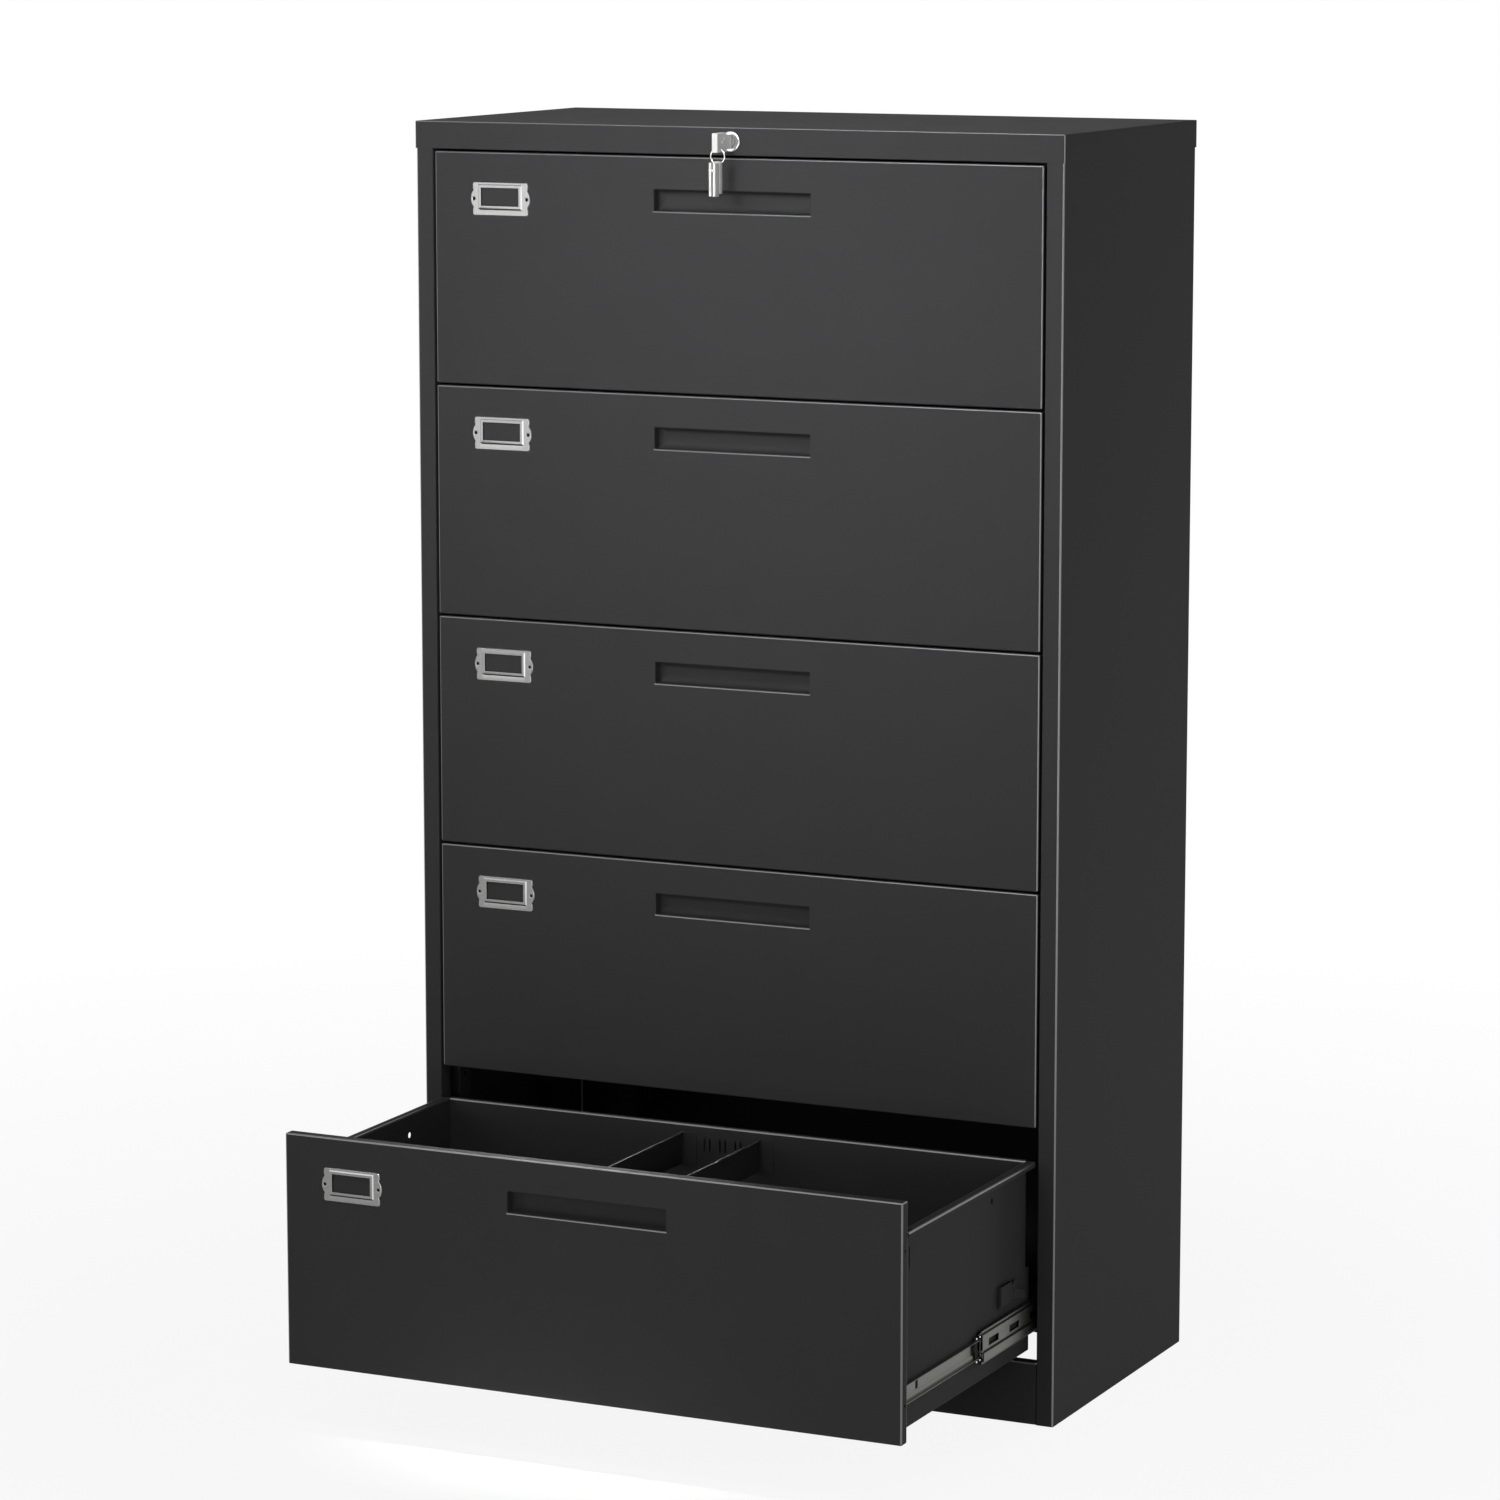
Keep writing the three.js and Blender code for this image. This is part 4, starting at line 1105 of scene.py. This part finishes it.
class CABINET_OT_stage(bpy.types.Operator):
    """Pale floor, soft studio light and the camera"""

    bl_idname = "cabinet.stage"
    bl_label = "Stage"

    def execute(self, context):
        self.floor()
        self.world(context.scene)
        self.lamp("front_box", (0.05, -1.2, 2.1), (0.05, 0.0, 1.4), (1.0, 0.6), 11.0)
        self.lamp("far_box", (0.05, -3.6, 2.4), (0.05, 0.0, 1.5), (1.0, 0.5), 3.7, 35.0)
        self.lamp("low_front_box", (0.2, -3.2, 0.5), (0.0, -0.2, 0.4), (2.0, 0.7), 23.0)
        self.lamp("right_box", (2.6, -0.2, 0.7), (0.45, 0.0, 0.6), (3.0, 1.2), 12.0)
        self.lamp("left_card", (-2.2, -3.5, 1.4), (-0.33, 0.0, 1.5), (1.5, 1.4), 18.0)
        # Lights the upward edges of the open drawer alone
        self.lamp("drawer_box", (-0.05, -0.3, 6.3), (-0.05, -0.31, 0.3), (0.3, 0.12), 1.95, 5.4)
        # Grazes the right side, so the cabinet shades the rear of an open drawer
        rear = self.lamp("rear_box", (2.2, 5.5, 1.0), (0.2, 0.0, 0.7), (1.6, 1.4), 205.0)
        rear.visible_glossy = False
        self.camera(context.scene)
        context.scene.view_settings.view_transform = "Standard"
        return {"FINISHED"}

    def floor(self):
        bm = bmesh.new()
        bmesh.ops.create_circle(bm, cap_ends=True, segments=64, radius=40.0)
        mesh = bpy.data.meshes.new("floor")
        bm.to_mesh(mesh)
        bm.free()
        made = bpy.data.objects.new("floor", mesh)
        bpy.context.scene.collection.objects.link(made)
        material, tree = new_material("pale_floor")
        diffuse = add_node(tree, "ShaderNodeBsdfDiffuse", {"Color": (0.8, 0.8, 0.8, 1.0)})
        white = add_node(tree, "ShaderNodeEmission", {"Color": (1.0, 1.0, 1.0, 1.0), "Strength": 1.0})
        # The shadow stays near the cabinet, and the floor fades into the white background further out
        place = add_node(tree, "ShaderNodeTexCoord").outputs["Object"]
        away = add_node(tree, "ShaderNodeVectorMath", {0: place}, operation="LENGTH")
        clean = add_node(
            tree,
            "ShaderNodeMapRange",
            {"Value": away.outputs["Value"], "From Min": 0.8, "From Max": 3.0, "To Min": 0.9, "To Max": 1.0},
        )
        seen = {0: self.seen_rays(tree), 1: clean.outputs["Result"]}
        share = add_node(tree, "ShaderNodeMath", seen, operation="MULTIPLY")
        mixed = add_node(
            tree,
            "ShaderNodeMixShader",
            {0: share.outputs[0], 1: diffuse.outputs[0], 2: white.outputs[0]},
        )
        add_node(tree, "ShaderNodeOutputMaterial", {"Surface": mixed.outputs[0]})
        mesh.materials.append(material)

    def seen_rays(self, tree):
        """One for the rays that show the background, in the picture, in metal or through glass."""
        path = add_node(tree, "ShaderNodeLightPath").outputs
        direct = {0: path["Is Camera Ray"], 1: path["Is Glossy Ray"]}
        first = add_node(tree, "ShaderNodeMath", direct, operation="MAXIMUM")
        through = {0: first.outputs[0], 1: path["Is Transmission Ray"]}
        return add_node(tree, "ShaderNodeMath", through, operation="MAXIMUM").outputs[0]

    def world(self, scene):
        scene.world = bpy.data.worlds.new("studio")
        scene.world.use_nodes = True
        tree = scene.world.node_tree
        tree.nodes.clear()
        seen = {"Value": self.seen_rays(tree), "To Min": 0.1, "To Max": 1.0}
        level = add_node(tree, "ShaderNodeMapRange", seen).outputs["Result"]
        sky = add_node(tree, "ShaderNodeBackground", {"Color": (1.0, 1.0, 1.0, 1.0), "Strength": level})
        add_node(tree, "ShaderNodeOutputWorld", {"Surface": sky.outputs[0]})

    def lamp(self, name, place, aim, size, watts, spread=180.0):
        data = bpy.data.lights.new(name, "AREA")
        data.shape = "RECTANGLE"
        data.size, data.size_y = size
        data.energy = watts
        data.spread = math.radians(spread)
        made = bpy.data.objects.new(name, data)
        made.location = place
        made.rotation_euler = (Vector(aim) - Vector(place)).to_track_quat("-Z", "Y").to_euler()
        bpy.context.scene.collection.objects.link(made)
        return made

    def camera(self, scene):
        data = bpy.data.cameras.new("camera")
        data.sensor_width = 36.0
        data.lens = 128.06
        made = bpy.data.objects.new("camera", data)
        made.location = (2.90109, -6.06271, 1.92648)
        made.rotation_euler = (math.radians(90 - 9.248), 0.0, math.radians(25.446))
        scene.collection.objects.link(made)
        scene.camera = made


class CABINET_PT_build(bpy.types.Panel):
    """Lists the cabinet's sizes, colours and building steps"""

    bl_idname = "CABINET_PT_build"
    bl_label = "Filing cabinet"
    bl_space_type = "VIEW_3D"
    bl_region_type = "UI"
    bl_category = "Cabinet"

    def draw(self, context):
        for group in (context.scene.cabinet_sizes, context.scene.cabinet_colours):
            for name in group.__annotations__:
                self.layout.prop(group, name)
        for step in STEPS:
            self.layout.operator(step.bl_idname)


STEPS = (
    CABINET_OT_top_cap,
    CABINET_OT_side_panels,
    CABINET_OT_back_panel,
    CABINET_OT_base,
    CABINET_OT_drawer_fronts,
    CABINET_OT_drawer_boxes,
    CABINET_OT_catches,
    CABINET_OT_file_bars,
    CABINET_OT_label_holders,
    CABINET_OT_slides,
    CABINET_OT_lock,
    CABINET_OT_keys,
    CABINET_OT_stage,
)
CLASSES = (CabinetSizes, CabinetColours, *STEPS, CABINET_PT_build)


def register():
    for cls in CLASSES:
        bpy.utils.register_class(cls)
    bpy.types.Scene.cabinet_sizes = PointerProperty(type=CabinetSizes)
    bpy.types.Scene.cabinet_colours = PointerProperty(type=CabinetColours)


def unregister():
    del bpy.types.Scene.cabinet_colours
    del bpy.types.Scene.cabinet_sizes
    for cls in reversed(CLASSES):
        bpy.utils.unregister_class(cls)


def main():
    register()
    bpy.ops.cabinet.top_cap()
    bpy.ops.cabinet.side_panels()
    bpy.ops.cabinet.back_panel()
    bpy.ops.cabinet.base()
    bpy.ops.cabinet.drawer_fronts()
    bpy.ops.cabinet.drawer_boxes()
    bpy.ops.cabinet.catches()
    bpy.ops.cabinet.file_bars()
    bpy.ops.cabinet.label_holders()
    bpy.ops.cabinet.slides()
    bpy.ops.cabinet.lock()
    bpy.ops.cabinet.keys()
    bpy.ops.cabinet.stage()
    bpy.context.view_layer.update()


if __name__ == "__main__":
    main()
